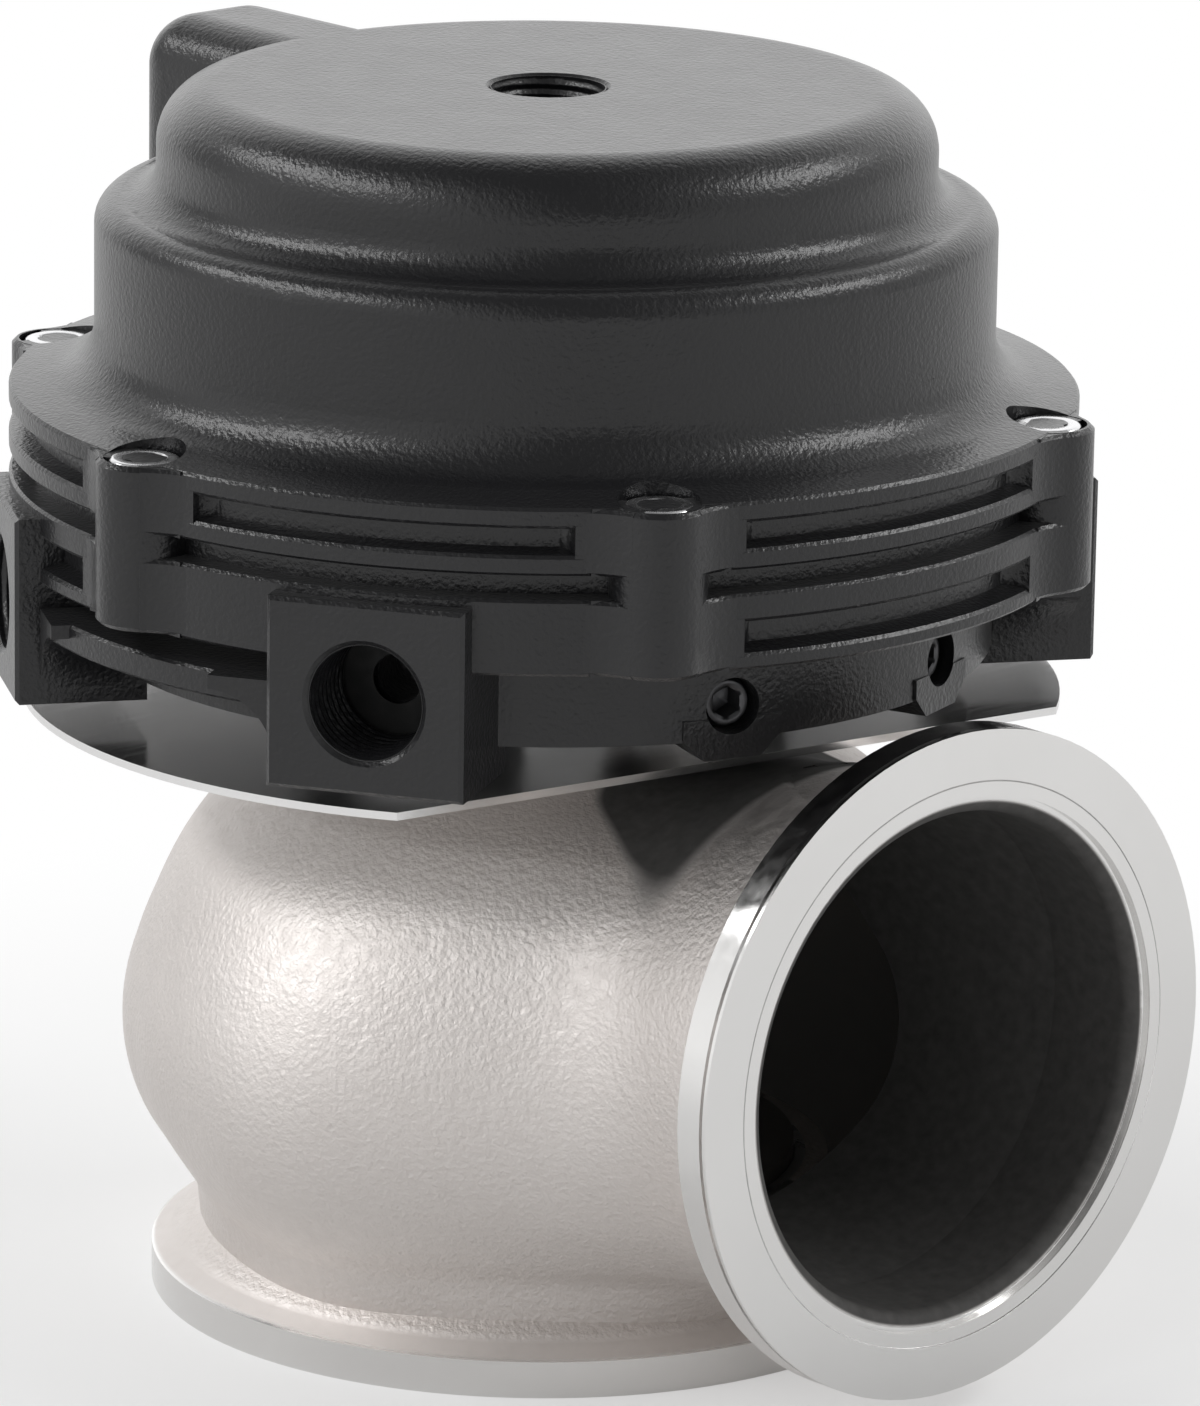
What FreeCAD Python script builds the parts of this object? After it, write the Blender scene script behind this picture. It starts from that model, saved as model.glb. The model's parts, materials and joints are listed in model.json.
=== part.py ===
"""Turbo wastegate with a V-band inlet and outlet, as a parametric assembly.

The frame: +Z runs up the valve's axis, the origin is the centre of the inlet flange's face,
and the outlet points along +X. Lengths are in millimetres and angles in degrees.
"""
import FreeCAD, Part
import math
import os
import re

import Sketcher

SIZES = [
    # the cast valve body
    ("inlet_rim_radius", 34.5, "outside of the inlet V-band flange"),
    ("rim_thickness", 3.3, "straight rim of both V-band flanges"),
    ("inlet_neck_radius", 30.0, "neck above the inlet flange"),
    ("inlet_cone_top", 6.3, "where the inlet flange's clamping cone meets the neck"),
    ("neck_top", 10.0, "where the neck meets the bulb"),
    ("bulb_corner_radius", 40.5, "corner of the bulb's profile before it is rounded"),
    ("bulb_corner_height", 25.5, "height of that corner"),
    ("bulb_rounding", 17.0, "rounding of that corner"),
    ("cast_wall", 3.9, "wall of the casting, measured level"),
    ("boss_radius", 22.6, "boss under the heat shield"),
    ("boss_bottom", 51.2, "where the bulb meets the boss"),
    ("shield_seat", 55.0, "top of the casting, where the heat shield lies"),
    ("seat_pocket_radius", 24.5, "pocket that holds the valve seat"),
    ("chamber_roof", 48.2, "roof of the exhaust chamber"),
    ("guide_boss_radius", 9.0, "boss in the chamber round the valve guide"),
    ("guide_boss_bottom", 42.0, "lower end of that boss"),
    # the outlet
    ("outlet_height", 32.4, "height of the outlet's axis"),
    ("outlet_reach", 53.5, "outlet face, from the valve's axis"),
    ("outlet_rim_radius", 29.5, "outside of the outlet V-band flange"),
    ("outlet_cone", 1.7, "length of the outlet flange's clamping cone"),
    ("outlet_bore", 22.0, "radius of the outlet passage"),
    ("outlet_wall", 2.7, "wall of the outlet pipe at its flange"),
    ("outlet_straight", 10.0, "straight length of the passage behind the face"),
    ("throat_place", 14.0, "where the passage leaves the chamber, from the valve's axis"),
    ("throat_radius", 17.4, "radius of the passage there"),
    ("pilot_radius", 23.7, "shallow pilot recess in the outlet face"),
    ("pilot_depth", 0.5, "depth of that recess"),
    ("bore_lip", 1.4, "rounding of the outlet's bore at the face"),
    ("waist_place", 40.0, "slimmest place of the outlet pipe, from the valve's axis"),
    ("waist_radius", 23.6, "radius of the pipe there"),
    ("waist_height", 32.2, "height of the pipe's axis there"),
    ("flare_place", 30.0, "where the pipe starts to flare into the bulb"),
    ("flare_half_width", 24.0, "half width of the pipe there"),
    ("flare_half_height", 22.9, "half height of the pipe there"),
    ("flare_height", 31.1, "height of the pipe's axis there"),
    ("root_place", 19.0, "root of the pipe inside the bulb"),
    ("root_half_width", 31.0, "half width of the root"),
    ("root_half_height", 24.0, "half height of the root"),
    ("root_height", 28.8, "height of the pipe's axis there"),
    # the valve, its seat and guide
    ("seat_radius", 22.0, "inside of the valve seat, 44 mm across"),
    ("seat_bottom", 0.0, "lower end of the seat ring, flush with the inlet face"),
    ("seat_top", 12.0, "upper end of the seat ring"),
    ("seat_chamfer", 1.6, "width of the sealing chamfer"),
    ("seat_gap", 0.04, "gap between the closed valve and its seat"),
    ("head_radius", 23.4, "outside of the valve head"),
    ("head_margin", 1.5, "straight edge of the valve head"),
    ("head_dish", 0.5, "depth of the hollow in the head's lower face"),
    ("head_edge", 3.0, "flat edge round that hollow"),
    ("tulip_height", 10.0, "height of the flare from head to stem"),
    ("stem_radius", 4.0, "valve stem"),
    ("stem_fit", 0.04, "running clearance round the stem"),
    ("guide_radius", 7.0, "outside of the valve guide"),
    ("guide_drop", 1.4, "how far the guide stands below its boss"),
    ("guide_stand", 1.3, "how far the guide stands above the casting"),
    ("baffle_thickness", 0.8, "washer on top of the guide"),
    # the heat shield and the clamp collar
    ("shield_radius", 46.2, "heat shield"),
    ("shield_thickness", 0.7, "sheet of the heat shield"),
    ("shield_flat", 31.1, "straight edge of the shield, from the axis"),
    ("shield_angle", -9.6, "direction that the straight edge faces"),
    ("collar_radius", 22.8, "clamp collar"),
    ("collar_bore", 12.2, "inside of the collar"),
    ("spigot_radius", 16.0, "spigot that holds the collar in the casting"),
    ("spigot_depth", 3.4, "length of that spigot below the shield's seat"),
    ("collar_top", 66.0, "upper face of the collar"),
    ("groove_height", 63.2, "middle of the collar's V groove"),
    ("groove_half", 1.9, "half of the groove's width at its mouth"),
    ("groove_depth", 2.0, "depth of the groove"),
    ("groove_floor", 0.3, "half of the groove's width at its bottom"),
    ("collar_fit", 0.05, "clearance between the collar and the actuator base"),
    # the actuator base
    ("joint_height", 75.8, "plane where cover and base meet"),
    ("rim_radius", 47.2, "rim of cover and base between the screw lobes"),
    ("lip_edge", 0.25, "broken edges of the rims"),
    ("pillar_width", 12.0, "pillar through the rims' grooves behind a screw lobe"),
    ("pillar_reach", 46.9, "outer side of that pillar, from the axis"),
    ("land_radius", 44.8, "outside of the land where cover and base touch"),
    ("base_rim_top", 75.0, "top of the base's rim"),
    ("base_rim_bottom", 68.4, "underside of the base's rim"),
    ("base_groove_top", 72.6, "upper edge of the groove in the base's rim"),
    ("base_groove_bottom", 69.75, "lower edge of that groove"),
    ("base_groove_depth", 2.2, "depth of that groove"),
    ("base_bottom", 60.3, "underside of the base"),
    ("skirt_radius", 40.0, "base below its rim"),
    ("lip_top", 66.2, "top of the base's rear lip"),
    ("lip_bottom", 63.8, "underside of the rear lip"),
    ("lip_start", 23.6, "the rear lip is cut off past this distance towards the outlet"),
    ("base_floor", 68.6, "floor of the lower pressure chamber"),
    ("chamber_radius", 36.0, "lower pressure chamber"),
    ("hub_radius", 11.8, "hub that hangs into the collar"),
    ("hub_bottom", 57.5, "lower end of the hub"),
    ("hub_top", 69.6, "upper end of the hub"),
    ("hub_top_radius", 9.5, "hub above the floor"),
    ("hub_lip", 0.8, "lip that stops the bushing"),
    ("bushing_radius", 6.5, "outside of the base bushing"),
    ("bushing_top", 65.6, "upper end of the bushing"),
    ("seal_top", 68.0, "upper end of the stem seal"),
    ("retainer_top", 69.2, "upper end of the seal retainer"),
    ("piece_gap", 0.1, "gap between stacked pieces in the hub"),
    ("base_pocket_gap", 0.05, "gap between the collar's top and the base"),
    # port blocks of the base
    ("block_angle", 60.0, "port blocks, to each side of the outlet"),
    ("rear_block_angle", 120.0, "rear port blocks, to each side of the outlet"),
    ("block_face", 48.6, "outer face of a port block, from the axis"),
    ("block_width", 17.5, "width of a port block"),
    ("block_bottom", 57.6, "underside of a port block"),
    ("block_top", 74.2, "top of a port block"),
    ("block_root", 37.0, "inner end of a port block"),
    ("block_edge", 0.35, "broken edges of a port block's face"),
    ("web_radius", 6.0, "hollow of the web beside a port block"),
    ("web_reach", 46.4, "outer edge of that web"),
    ("port_radius", 5.1, "threaded ports, 1/8 inch pipe thread"),
    ("port_depth", 10.0, "threaded depth of a port"),
    ("port_height", 65.6, "height of the base's ports"),
    ("passage_radius", 2.2, "drilled passages behind the ports"),
    ("passage_place", 33.0, "upward passage, from the axis"),
    # screws
    ("screw_circle", 45.8, "cover screws, from the axis"),
    ("first_screw_angle", 30.0, "angle of the first cover screw"),
    ("lobe_radius", 4.2, "lobe round a cover screw"),
    ("lobe_edge", 0.4, "broken edge at the end of a lobe"),
    ("base_lobe_bottom", 68.5, "lower end of a lobe on the base"),
    ("head_bottom", 78.9, "seat of a cover screw's head"),
    ("screw_head_height", 4.0, "head of a cover screw"),
    ("screw_head_radius", 3.1, "head of a cover screw"),
    ("screw_head_edge", 0.35, "broken edge of that head"),
    ("counterbore_radius", 3.55, "counterbore round the head"),
    ("screw_radius", 1.95, "M4 thread"),
    ("screw_length", 10.0, "cover screw under its head"),
    ("screw_hole_fit", 0.2, "clearance of the cover's screw holes"),
    ("screw_key", 3.0, "hexagon key of the cover screws"),
    ("screw_key_depth", 2.2, "depth of that socket"),
    ("set_screw_angle", 18.1, "set screws, to each side of the outlet"),
    ("set_screw_radius", 2.4, "M5 thread"),
    ("set_screw_tip", 21.3, "tip of a set screw, from the axis"),
    ("set_screw_point", 2.4, "length of its cone point"),
    ("set_screw_point_radius", 0.5, "radius of that point's end"),
    ("set_screw_end", 38.8, "outer end of a set screw, from the axis"),
    ("set_screw_key", 2.5, "hexagon key of the set screws"),
    ("set_screw_key_depth", 2.6, "depth of that socket"),
    ("set_screw_hole_fit", 0.1, "clearance of the set screw holes"),
    ("foot_width", 9.2, "foot of the skirt under a set screw"),
    ("foot_bottom", 58.6, "underside of that foot"),
    ("foot_root", 30.0, "inner end of that foot"),
    ("foot_slope", 1.9, "chamfer of that foot's sides"),
    # the cover
    ("cover_top", 109.35, "flat top of the cover"),
    ("tier_radius", 34.3, "upper tier"),
    ("tier_bottom", 99.4, "shoulder between the tiers"),
    ("wall_radius", 39.7, "lower tier"),
    ("wall_bottom", 84.3, "where the lower tier meets the flange"),
    ("top_rounding", 5.2, "round edge of the flat top"),
    ("shoulder_hollow", 2.9, "fillet under the upper tier"),
    ("shoulder_rounding", 2.3, "round edge of the lower tier"),
    ("flange_hollow", 4.6, "fillet between the lower tier and the flange"),
    ("cover_rim_top", 82.9, "top of the cover's rim"),
    ("cover_rim_bottom", 77.1, "underside of the cover's rim"),
    ("cover_groove_top", 81.2, "upper edge of the groove in the cover's rim"),
    ("cover_groove_bottom", 78.8, "lower edge of that groove"),
    ("cover_groove_depth", 1.9, "depth of that groove"),
    ("cover_groove_slope", 0.4, "how far the groove narrows"),
    ("lower_bore", 36.2, "inside of the lower tier"),
    ("upper_bore", 30.8, "inside of the upper tier"),
    ("upper_bore_height", 9.7, "depth of the upper bore below the ceiling"),
    ("top_wall", 4.05, "wall over the ceiling inside the cover"),
    ("ceiling_boss_radius", 9.0, "boss round the top port, inside"),
    ("ceiling_boss_height", 5.0, "height of that boss"),
    ("port_chamfer", 0.4, "chamfer at a port's mouth"),
    ("lug_reach", 48.5, "side port's lug, from the axis"),
    ("lug_root", 20.0, "inner end of that lug"),
    ("lug_width", 15.0, "width of that lug"),
    ("lug_below", 7.7, "lug below its port's axis"),
    ("lug_rounding", 4.6, "round edges of that lug"),
    ("lug_port_drop", 8.15, "side port's axis below the flat top"),
    # the moving stack and the springs
    ("shoulder_height", 70.2, "shoulder of the stem, where the plate sits"),
    ("tail_radius", 3.0, "threaded tail of the stem, M6"),
    ("tail_fit", 0.1, "clearance of the holes round the tail"),
    ("tail_top", 83.0, "upper end of the stem"),
    ("plate_radius", 26.0, "diaphragm plate"),
    ("plate_thickness", 1.5, "diaphragm plate"),
    ("diaphragm_thickness", 1.0, "diaphragm at the piston"),
    ("diaphragm_radius", 43.0, "outside of the diaphragm"),
    ("diaphragm_rim", 1.2, "thickness of the diaphragm's clamped rim"),
    ("rim_fit", 0.05, "gap round the diaphragm's rim"),
    ("roll_radius", 34.0, "crest of the diaphragm's roll"),
    ("roll_height", 2.1, "crest of the roll over the joint plane"),
    ("piston_radius", 30.4, "piston"),
    ("piston_floor", 2.5, "floor of the piston"),
    ("piston_wall", 1.8, "wall of the piston"),
    ("piston_height", 10.3, "height of the piston"),
    ("piston_chamfer", 1.5, "lower edge of the piston"),
    ("washer_radius", 8.0, "washer on the stem"),
    ("washer_thickness", 1.2, "washer on the stem"),
    ("nut_key", 10.0, "nut, across its flats"),
    ("nut_height", 5.0, "nut"),
    ("locator_thickness", 1.0, "spring locator under the ceiling"),
    ("locator_radius", 29.6, "outside of the spring locator"),
    ("locator_bore", 9.4, "inside of the spring locator"),
    ("outer_spring_radius", 26.0, "mean radius of the outer spring"),
    ("outer_spring_wire", 3.2, "wire of the outer spring"),
    ("outer_spring_pitch", 6.4, "pitch of the outer spring"),
    ("middle_spring_radius", 20.2, "mean radius of the middle spring"),
    ("middle_spring_wire", 2.8, "wire of the middle spring"),
    ("middle_spring_pitch", 6.0, "pitch of the middle spring"),
    ("inner_spring_radius", 14.6, "mean radius of the inner spring"),
    ("inner_spring_wire", 2.3, "wire of the inner spring"),
    ("inner_spring_pitch", 5.4, "pitch of the inner spring"),
]

NAMES = {name for name, number, meaning in SIZES}
SCREW_COUNT = 6
SCREW_ANGLES = [360 / SCREW_COUNT * index for index in range(SCREW_COUNT)]
WIRE_SIDES = 8

doc = FreeCAD.newDocument("wastegate")
sheet = doc.addObject("Spreadsheet::Sheet", "sizes")
for row, (name, number, meaning) in enumerate(SIZES, start=1):
    sheet.set("A%d" % row, name)
    sheet.set("B%d" % row, str(number))
    sheet.setAlias("B%d" % row, name)
    sheet.set("C%d" % row, meaning)
doc.recompute()


# ---------------------------------------------------------------- helpers
def value(name):
    """The number that the sheet holds under a name."""
    return float(sheet.get(name))


def bound(text):
    """An expression in which every name of the sheet is looked up there."""
    return re.sub(r"[a-z_]+", lambda word: "sizes." + word.group() if word.group() in NAMES
                  else word.group(), str(text))


def number_of(text):
    """The number that an expression gives."""
    return float(sheet.evalExpression(bound(text)))


def bind(item, **properties):
    """Tie properties of an object to expressions; a dot in a path is written as two underscores."""
    for path, text in properties.items():
        item.setExpression(path.replace("__", "."), bound(text))


def plane(body, role):
    """One of the body's own origin planes."""
    return next(item for item in body.Origin.OriginFeatures if item.Role == role)


def polygon(sketch, corners):
    """Closed outline whose corners stand at expressions measured from the sketch's origin."""
    points = [FreeCAD.Vector(number_of(across), number_of(up), 0) for across, up in corners]
    count = len(corners)
    for index in range(count):
        sketch.addGeometry(Part.LineSegment(points[index], points[(index + 1) % count]), False)
    for index in range(count):
        sketch.addConstraint(Sketcher.Constraint("Coincident", index, 2, (index + 1) % count, 1))
    for index, corner in enumerate(corners):
        for kind, text in zip(("DistanceX", "DistanceY"), corner):
            rule = Sketcher.Constraint(kind, -1, 1, index, 1, number_of(text))
            sketch.setExpression("Constraints[%d]" % sketch.addConstraint(rule), bound(text))


def sketch_on(body, name, role):
    """Sketch on one of the body's own origin planes."""
    sketch = body.newObject("Sketcher::SketchObject", name)
    sketch.AttachmentSupport = (plane(body, role), [""])
    sketch.MapMode = "FlatFace"
    return sketch


def turned(label, corners):
    """Body turned about the Z axis from an outline of (radius, height) corners."""
    body = doc.addObject("PartDesign::Body", label)
    sketch = sketch_on(body, label + "_outline", "XZ_Plane")
    polygon(sketch, corners)
    turn = body.newObject("PartDesign::Revolution", label + "_turning")
    turn.Profile = sketch
    turn.ReferenceAxis = (sketch, ["V_Axis"])
    turn.Angle = 360
    body.Tip = turn
    doc.recompute()
    return body


def ring_edges(shape, rings):
    """Names of the round edges about the Z axis at the given (radius, height) expressions."""
    places = [(number_of(radius), number_of(height)) for radius, height in rings]
    names = []
    for number, edge in enumerate(shape.Edges, start=1):
        curve = edge.Curve
        if not isinstance(curve, Part.Circle):
            continue
        if math.hypot(curve.Center.x, curve.Center.y) > 1e-4:
            continue
        for radius, height in places:
            if abs(curve.Radius - radius) < 1e-4 and abs(curve.Center.z - height) < 1e-4:
                names.append("Edge%d" % number)
    return names


def rounded(body, label, size, rings):
    """Fillet of one radius on round edges of a turned body."""
    base = body.Tip
    fillet = body.newObject("PartDesign::Fillet", label)
    fillet.Base = (base, ring_edges(base.Shape, rings))
    bind(fillet, Radius=size)
    body.Tip = fillet
    doc.recompute()


def broken(body, label, size, rings):
    """Chamfer of one size on round edges of a turned body."""
    base = body.Tip
    chamfer = body.newObject("PartDesign::Chamfer", label)
    chamfer.Base = (base, ring_edges(base.Shape, rings))
    bind(chamfer, Size=size)
    body.Tip = chamfer
    doc.recompute()


def edges_cut(label, base, size, wanted):
    """Chamfer of one size on the edges of a base that a test picks."""
    doc.recompute()
    chamfer = doc.addObject("Part::Chamfer", label)
    chamfer.Base = base
    chamfer.Edges = [(number, value(size), value(size))
                     for number, edge in enumerate(base.Shape.Edges, start=1) if wanted(edge)]
    return chamfer


def fused(label, pieces):
    """Union of pieces, with seams between flush faces removed."""
    result = doc.addObject("Part::MultiFuse", label)
    result.Shapes = pieces
    result.Refine = True
    return result


def cut(label, base, tools):
    """Base without the tools."""
    tool = tools[0] if len(tools) == 1 else fused(label + "_tools", tools)
    result = doc.addObject("Part::Cut", label)
    result.Base = base
    result.Tool = tool
    result.Refine = True
    return result


def upright(label, radius, low, high, distance="0", angle=0.0, end_radius=None):
    """Upright cylinder, or cone, at a distance from the axis in the direction of an angle."""
    item = doc.addObject("Part::Cylinder" if end_radius is None else "Part::Cone", label)
    bind(item, Height="(%s) - (%s)" % (high, low), Placement__Base__z=low,
         Placement__Base__x="(%s) * cos(%s)" % (distance, angle),
         Placement__Base__y="(%s) * sin(%s)" % (distance, angle))
    if end_radius is None:
        bind(item, Radius=radius)
    else:
        bind(item, Radius1=radius, Radius2=end_radius)
    return item


def radial(label, radius, inner, outer, height, angle, end_radius=None):
    """Cylinder, or cone, that lies along a radius of the object."""
    kind = "Part::Cylinder" if end_radius is None else "Part::Cone"
    item = doc.addObject(kind, label)
    heading = FreeCAD.Vector(math.cos(math.radians(angle)), math.sin(math.radians(angle)), 0)
    item.Placement = FreeCAD.Placement(FreeCAD.Vector(), FreeCAD.Rotation(FreeCAD.Vector(0, 0, 1), heading))
    bind(item, Height="(%s) - (%s)" % (outer, inner), Placement__Base__z=height,
         Placement__Base__x="(%s) * cos(%s)" % (inner, angle),
         Placement__Base__y="(%s) * sin(%s)" % (inner, angle))
    if end_radius is None:
        bind(item, Radius=radius)
    else:
        bind(item, Radius1=radius, Radius2=end_radius)
    return item


def radial_box(label, inner, outer, width, low, high, angle, aside="0"):
    """Box that lies along a radius, its middle moved aside where asked."""
    item = doc.addObject("Part::Box", label)
    item.Placement = FreeCAD.Placement(FreeCAD.Vector(), FreeCAD.Rotation(FreeCAD.Vector(0, 0, 1), angle))
    side = "((%s) - (%s) / 2)" % (aside, width)
    bind(item, Length="(%s) - (%s)" % (outer, inner), Width=width, Height="(%s) - (%s)" % (high, low),
         Placement__Base__x="(%s) * cos(%s) - %s * sin(%s)" % (inner, angle, side, angle),
         Placement__Base__y="(%s) * sin(%s) + %s * cos(%s)" % (inner, angle, side, angle),
         Placement__Base__z=low)
    return item


def hexagon(label, across_flats, height):
    """Upright hexagonal prism, to be placed by its caller."""
    item = doc.addObject("Part::Prism", label)
    item.Polygon = 6
    bind(item, Circumradius="(%s) / sqrt(3)" % across_flats, Height=height)
    return item


def sector(label, radius, low, high, first, last):
    """Wedge of a cylinder between two angles."""
    item = doc.addObject("Part::Cylinder", label)
    item.Placement = FreeCAD.Placement(FreeCAD.Vector(), FreeCAD.Rotation(FreeCAD.Vector(0, 0, 1), first))
    item.Angle = last - first
    bind(item, Radius=radius, Height="(%s) - (%s)" % (high, low), Placement__Base__z=low)
    return item


# ---------------------------------------------------------------- valve body
def pipe_section(label, place, height, half_width, half_height):
    """Ellipse across the outlet's axis, for the pipe's loft."""
    item = doc.addObject("Part::Ellipse", label)
    item.Placement = FreeCAD.Placement(FreeCAD.Vector(), FreeCAD.Rotation(FreeCAD.Vector(1, 1, 1), 120))
    bind(item, MajorRadius=half_width, MinorRadius=half_height, Placement__Base__x=place,
         Placement__Base__z=height)
    return item


def make_valve_body():
    """Cast bulb with an inlet flange below, an outlet pipe and flange at the side, all hollow."""
    roof_slope = "(bulb_corner_radius - boss_radius) / (boss_bottom - bulb_corner_height)"
    bulb = turned("bulb", [
        ("0", "0"),
        ("inlet_rim_radius", "0"),
        ("inlet_rim_radius", "rim_thickness"),
        ("inlet_neck_radius", "inlet_cone_top"),
        ("inlet_neck_radius", "neck_top"),
        ("bulb_corner_radius", "bulb_corner_height"),
        ("boss_radius", "boss_bottom"),
        ("boss_radius", "shield_seat"),
        ("0", "shield_seat"),
    ])
    rounded(bulb, "bulb_rounding_edge", "bulb_rounding", [("bulb_corner_radius", "bulb_corner_height")])

    pipe = doc.addObject("Part::Loft", "outlet_pipe")
    pipe.Sections = [
        pipe_section("pipe_root", "root_place", "root_height", "root_half_width", "root_half_height"),
        pipe_section("pipe_flare", "flare_place", "flare_height", "flare_half_width", "flare_half_height"),
        pipe_section("pipe_waist", "waist_place", "waist_height", "waist_radius", "waist_radius"),
        pipe_section("pipe_end", "outlet_reach - rim_thickness", "outlet_height",
                     "outlet_bore + outlet_wall", "outlet_bore + outlet_wall"),
    ]
    pipe.Solid = True
    doc.recompute()

    rim = radial("outlet_rim", "outlet_rim_radius", "outlet_reach - rim_thickness", "outlet_reach",
                 "outlet_height", 0)
    cone = radial("outlet_cone_part", "outlet_bore + outlet_wall",
                  "outlet_reach - rim_thickness - outlet_cone", "outlet_reach - rim_thickness",
                  "outlet_height", 0, end_radius="outlet_rim_radius - 0.1")
    doc.recompute()
    joined = fused("bulb_and_pipe", [bulb, pipe])
    doc.recompute()
    outside = fused("casting_outside", [joined, rim, cone])

    chamber = turned("exhaust_chamber", [
        ("0", "-1"),
        ("seat_pocket_radius", "-1"),
        ("seat_pocket_radius", "seat_top"),
        ("inlet_neck_radius - cast_wall + 0.4", "seat_top"),
        ("bulb_corner_radius - cast_wall * 1.05", "bulb_corner_height - 0.2"),
        ("bulb_corner_radius - cast_wall * 1.15 - (chamber_roof - bulb_corner_height) * "
         + roof_slope, "chamber_roof"),
        ("guide_boss_radius", "chamber_roof"),
        ("guide_boss_radius", "guide_boss_bottom"),
        ("0", "guide_boss_bottom"),
    ])
    rounded(chamber, "chamber_rounding", "bulb_rounding - cast_wall",
            [("bulb_corner_radius - cast_wall * 1.05", "bulb_corner_height - 0.2")])

    passage = radial("outlet_passage", "throat_radius", "throat_place", "outlet_reach - outlet_straight",
                     "outlet_height", 0, end_radius="outlet_bore")
    straight = radial("outlet_straight_part", "outlet_bore", "outlet_reach - outlet_straight",
                      "outlet_reach + 1", "outlet_height", 0)
    pilot = radial("pilot_recess", "pilot_radius", "outlet_reach - pilot_depth", "outlet_reach + 1",
                   "outlet_height", 0)
    guide_bore = upright("guide_bore", "guide_radius", "guide_boss_bottom - 1", "shield_seat + 1")
    spigot_bore = upright("spigot_bore", "spigot_radius", "shield_seat - spigot_depth", "shield_seat + 1")
    doc.recompute()
    hollow = cut("casting_hollow", outside, [chamber, passage, straight, pilot, guide_bore, spigot_bore])
    doc.recompute()
    lip = doc.addObject("Part::Fillet", "valve_body")
    lip.Base = hollow
    lip_edges = []
    for number, edge in enumerate(hollow.Shape.Edges, start=1):
        curve = edge.Curve
        if not isinstance(curve, Part.Circle):
            continue
        if abs(curve.Radius - value("outlet_bore")) > 1e-4:
            continue
        if abs(curve.Center.x - value("outlet_reach") + value("pilot_depth")) < 1e-4:
            lip_edges.append((number, value("bore_lip"), value("bore_lip")))
    lip.Edges = lip_edges
    return lip


def make_valve_seat():
    """Hard ring pressed into the inlet, chamfered for the valve at its upper inner edge."""
    return turned("valve_seat", [
        ("seat_radius", "seat_bottom"),
        ("seat_pocket_radius", "seat_bottom"),
        ("seat_pocket_radius", "seat_top"),
        ("seat_radius + seat_chamfer", "seat_top"),
        ("seat_radius", "seat_top - seat_chamfer"),
    ])


def make_valve_guide():
    """Bronze tube pressed into the casting round the stem."""
    return turned("valve_guide", [
        ("stem_radius + stem_fit", "guide_boss_bottom - guide_drop"),
        ("guide_radius - 0.8", "guide_boss_bottom - guide_drop"),
        ("guide_radius", "guide_boss_bottom - guide_drop + 0.8"),
        ("guide_radius", "shield_seat + guide_stand"),
        ("stem_radius + stem_fit", "shield_seat + guide_stand"),
    ])


def make_stem_baffle():
    """Washer on the guide that keeps hot gas out of the actuator's hub."""
    return turned("stem_baffle", [
        ("stem_radius + stem_fit", "shield_seat + guide_stand"),
        ("collar_bore - 0.05", "shield_seat + guide_stand"),
        ("collar_bore - 0.05", "shield_seat + guide_stand + baffle_thickness"),
        ("stem_radius + stem_fit", "shield_seat + guide_stand + baffle_thickness"),
    ])


def make_heat_shield():
    """Thin disc under the actuator, cut straight on the outlet side to clear the pipe."""
    disc = upright("shield_disc", "shield_radius", "shield_seat", "shield_seat + shield_thickness")
    hole = upright("shield_hole", "spigot_radius + 0.05", "shield_seat - 1",
                   "shield_seat + shield_thickness + 1")
    turn = value("shield_angle")
    trim = radial_box("shield_trim", "shield_flat", "shield_flat + shield_radius",
                      "shield_radius * 2", "shield_seat - 1", "shield_seat + shield_thickness + 1", turn)
    return cut("heat_shield", disc, [hole, trim])


def make_clamp_collar():
    """Collar that holds the shield down and has the V groove that the set screws grip."""
    return turned("clamp_collar", [
        ("collar_bore", "shield_seat - spigot_depth"),
        ("spigot_radius", "shield_seat - spigot_depth"),
        ("spigot_radius", "shield_seat + shield_thickness"),
        ("collar_radius", "shield_seat + shield_thickness"),
        ("collar_radius", "groove_height - groove_half"),
        ("collar_radius - groove_depth", "groove_height - groove_floor"),
        ("collar_radius - groove_depth", "groove_height + groove_floor"),
        ("collar_radius", "groove_height + groove_half"),
        ("collar_radius", "collar_top"),
        ("collar_bore", "collar_top"),
    ])


# ---------------------------------------------------------------- moving stack
def make_valve():
    """Poppet valve: dished head with a 45 degree face, flared into the stem, threaded tail."""
    low = "seat_top - seat_chamfer + seat_gap"
    edge = low + " + head_radius - seat_radius"
    return turned("valve", [
        ("0", low + " + head_dish"),
        ("seat_radius - head_edge - head_dish", low + " + head_dish"),
        ("seat_radius - head_edge", low),
        ("seat_radius", low),
        ("head_radius", edge),
        ("head_radius", edge + " + head_margin"),
        ("head_radius * 0.86", edge + " + head_margin + 0.9"),
        ("head_radius * 0.46", edge + " + head_margin + tulip_height * 0.25"),
        ("stem_radius * 1.5", edge + " + head_margin + tulip_height * 0.55"),
        ("stem_radius", edge + " + head_margin + tulip_height"),
        ("stem_radius", "shoulder_height"),
        ("tail_radius", "shoulder_height"),
        ("tail_radius", "tail_top"),
        ("0", "tail_top"),
    ])


def make_diaphragm_plate():
    """Plate under the diaphragm, with its edge turned down away from the fabric."""
    return turned("diaphragm_plate", [
        ("tail_radius + tail_fit", "shoulder_height"),
        ("plate_radius - 1", "shoulder_height"),
        ("plate_radius", "shoulder_height + 0.6"),
        ("plate_radius", "shoulder_height + plate_thickness - 0.3"),
        ("plate_radius - 0.5", "shoulder_height + plate_thickness"),
        ("tail_radius + tail_fit", "shoulder_height + plate_thickness"),
    ])


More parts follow.
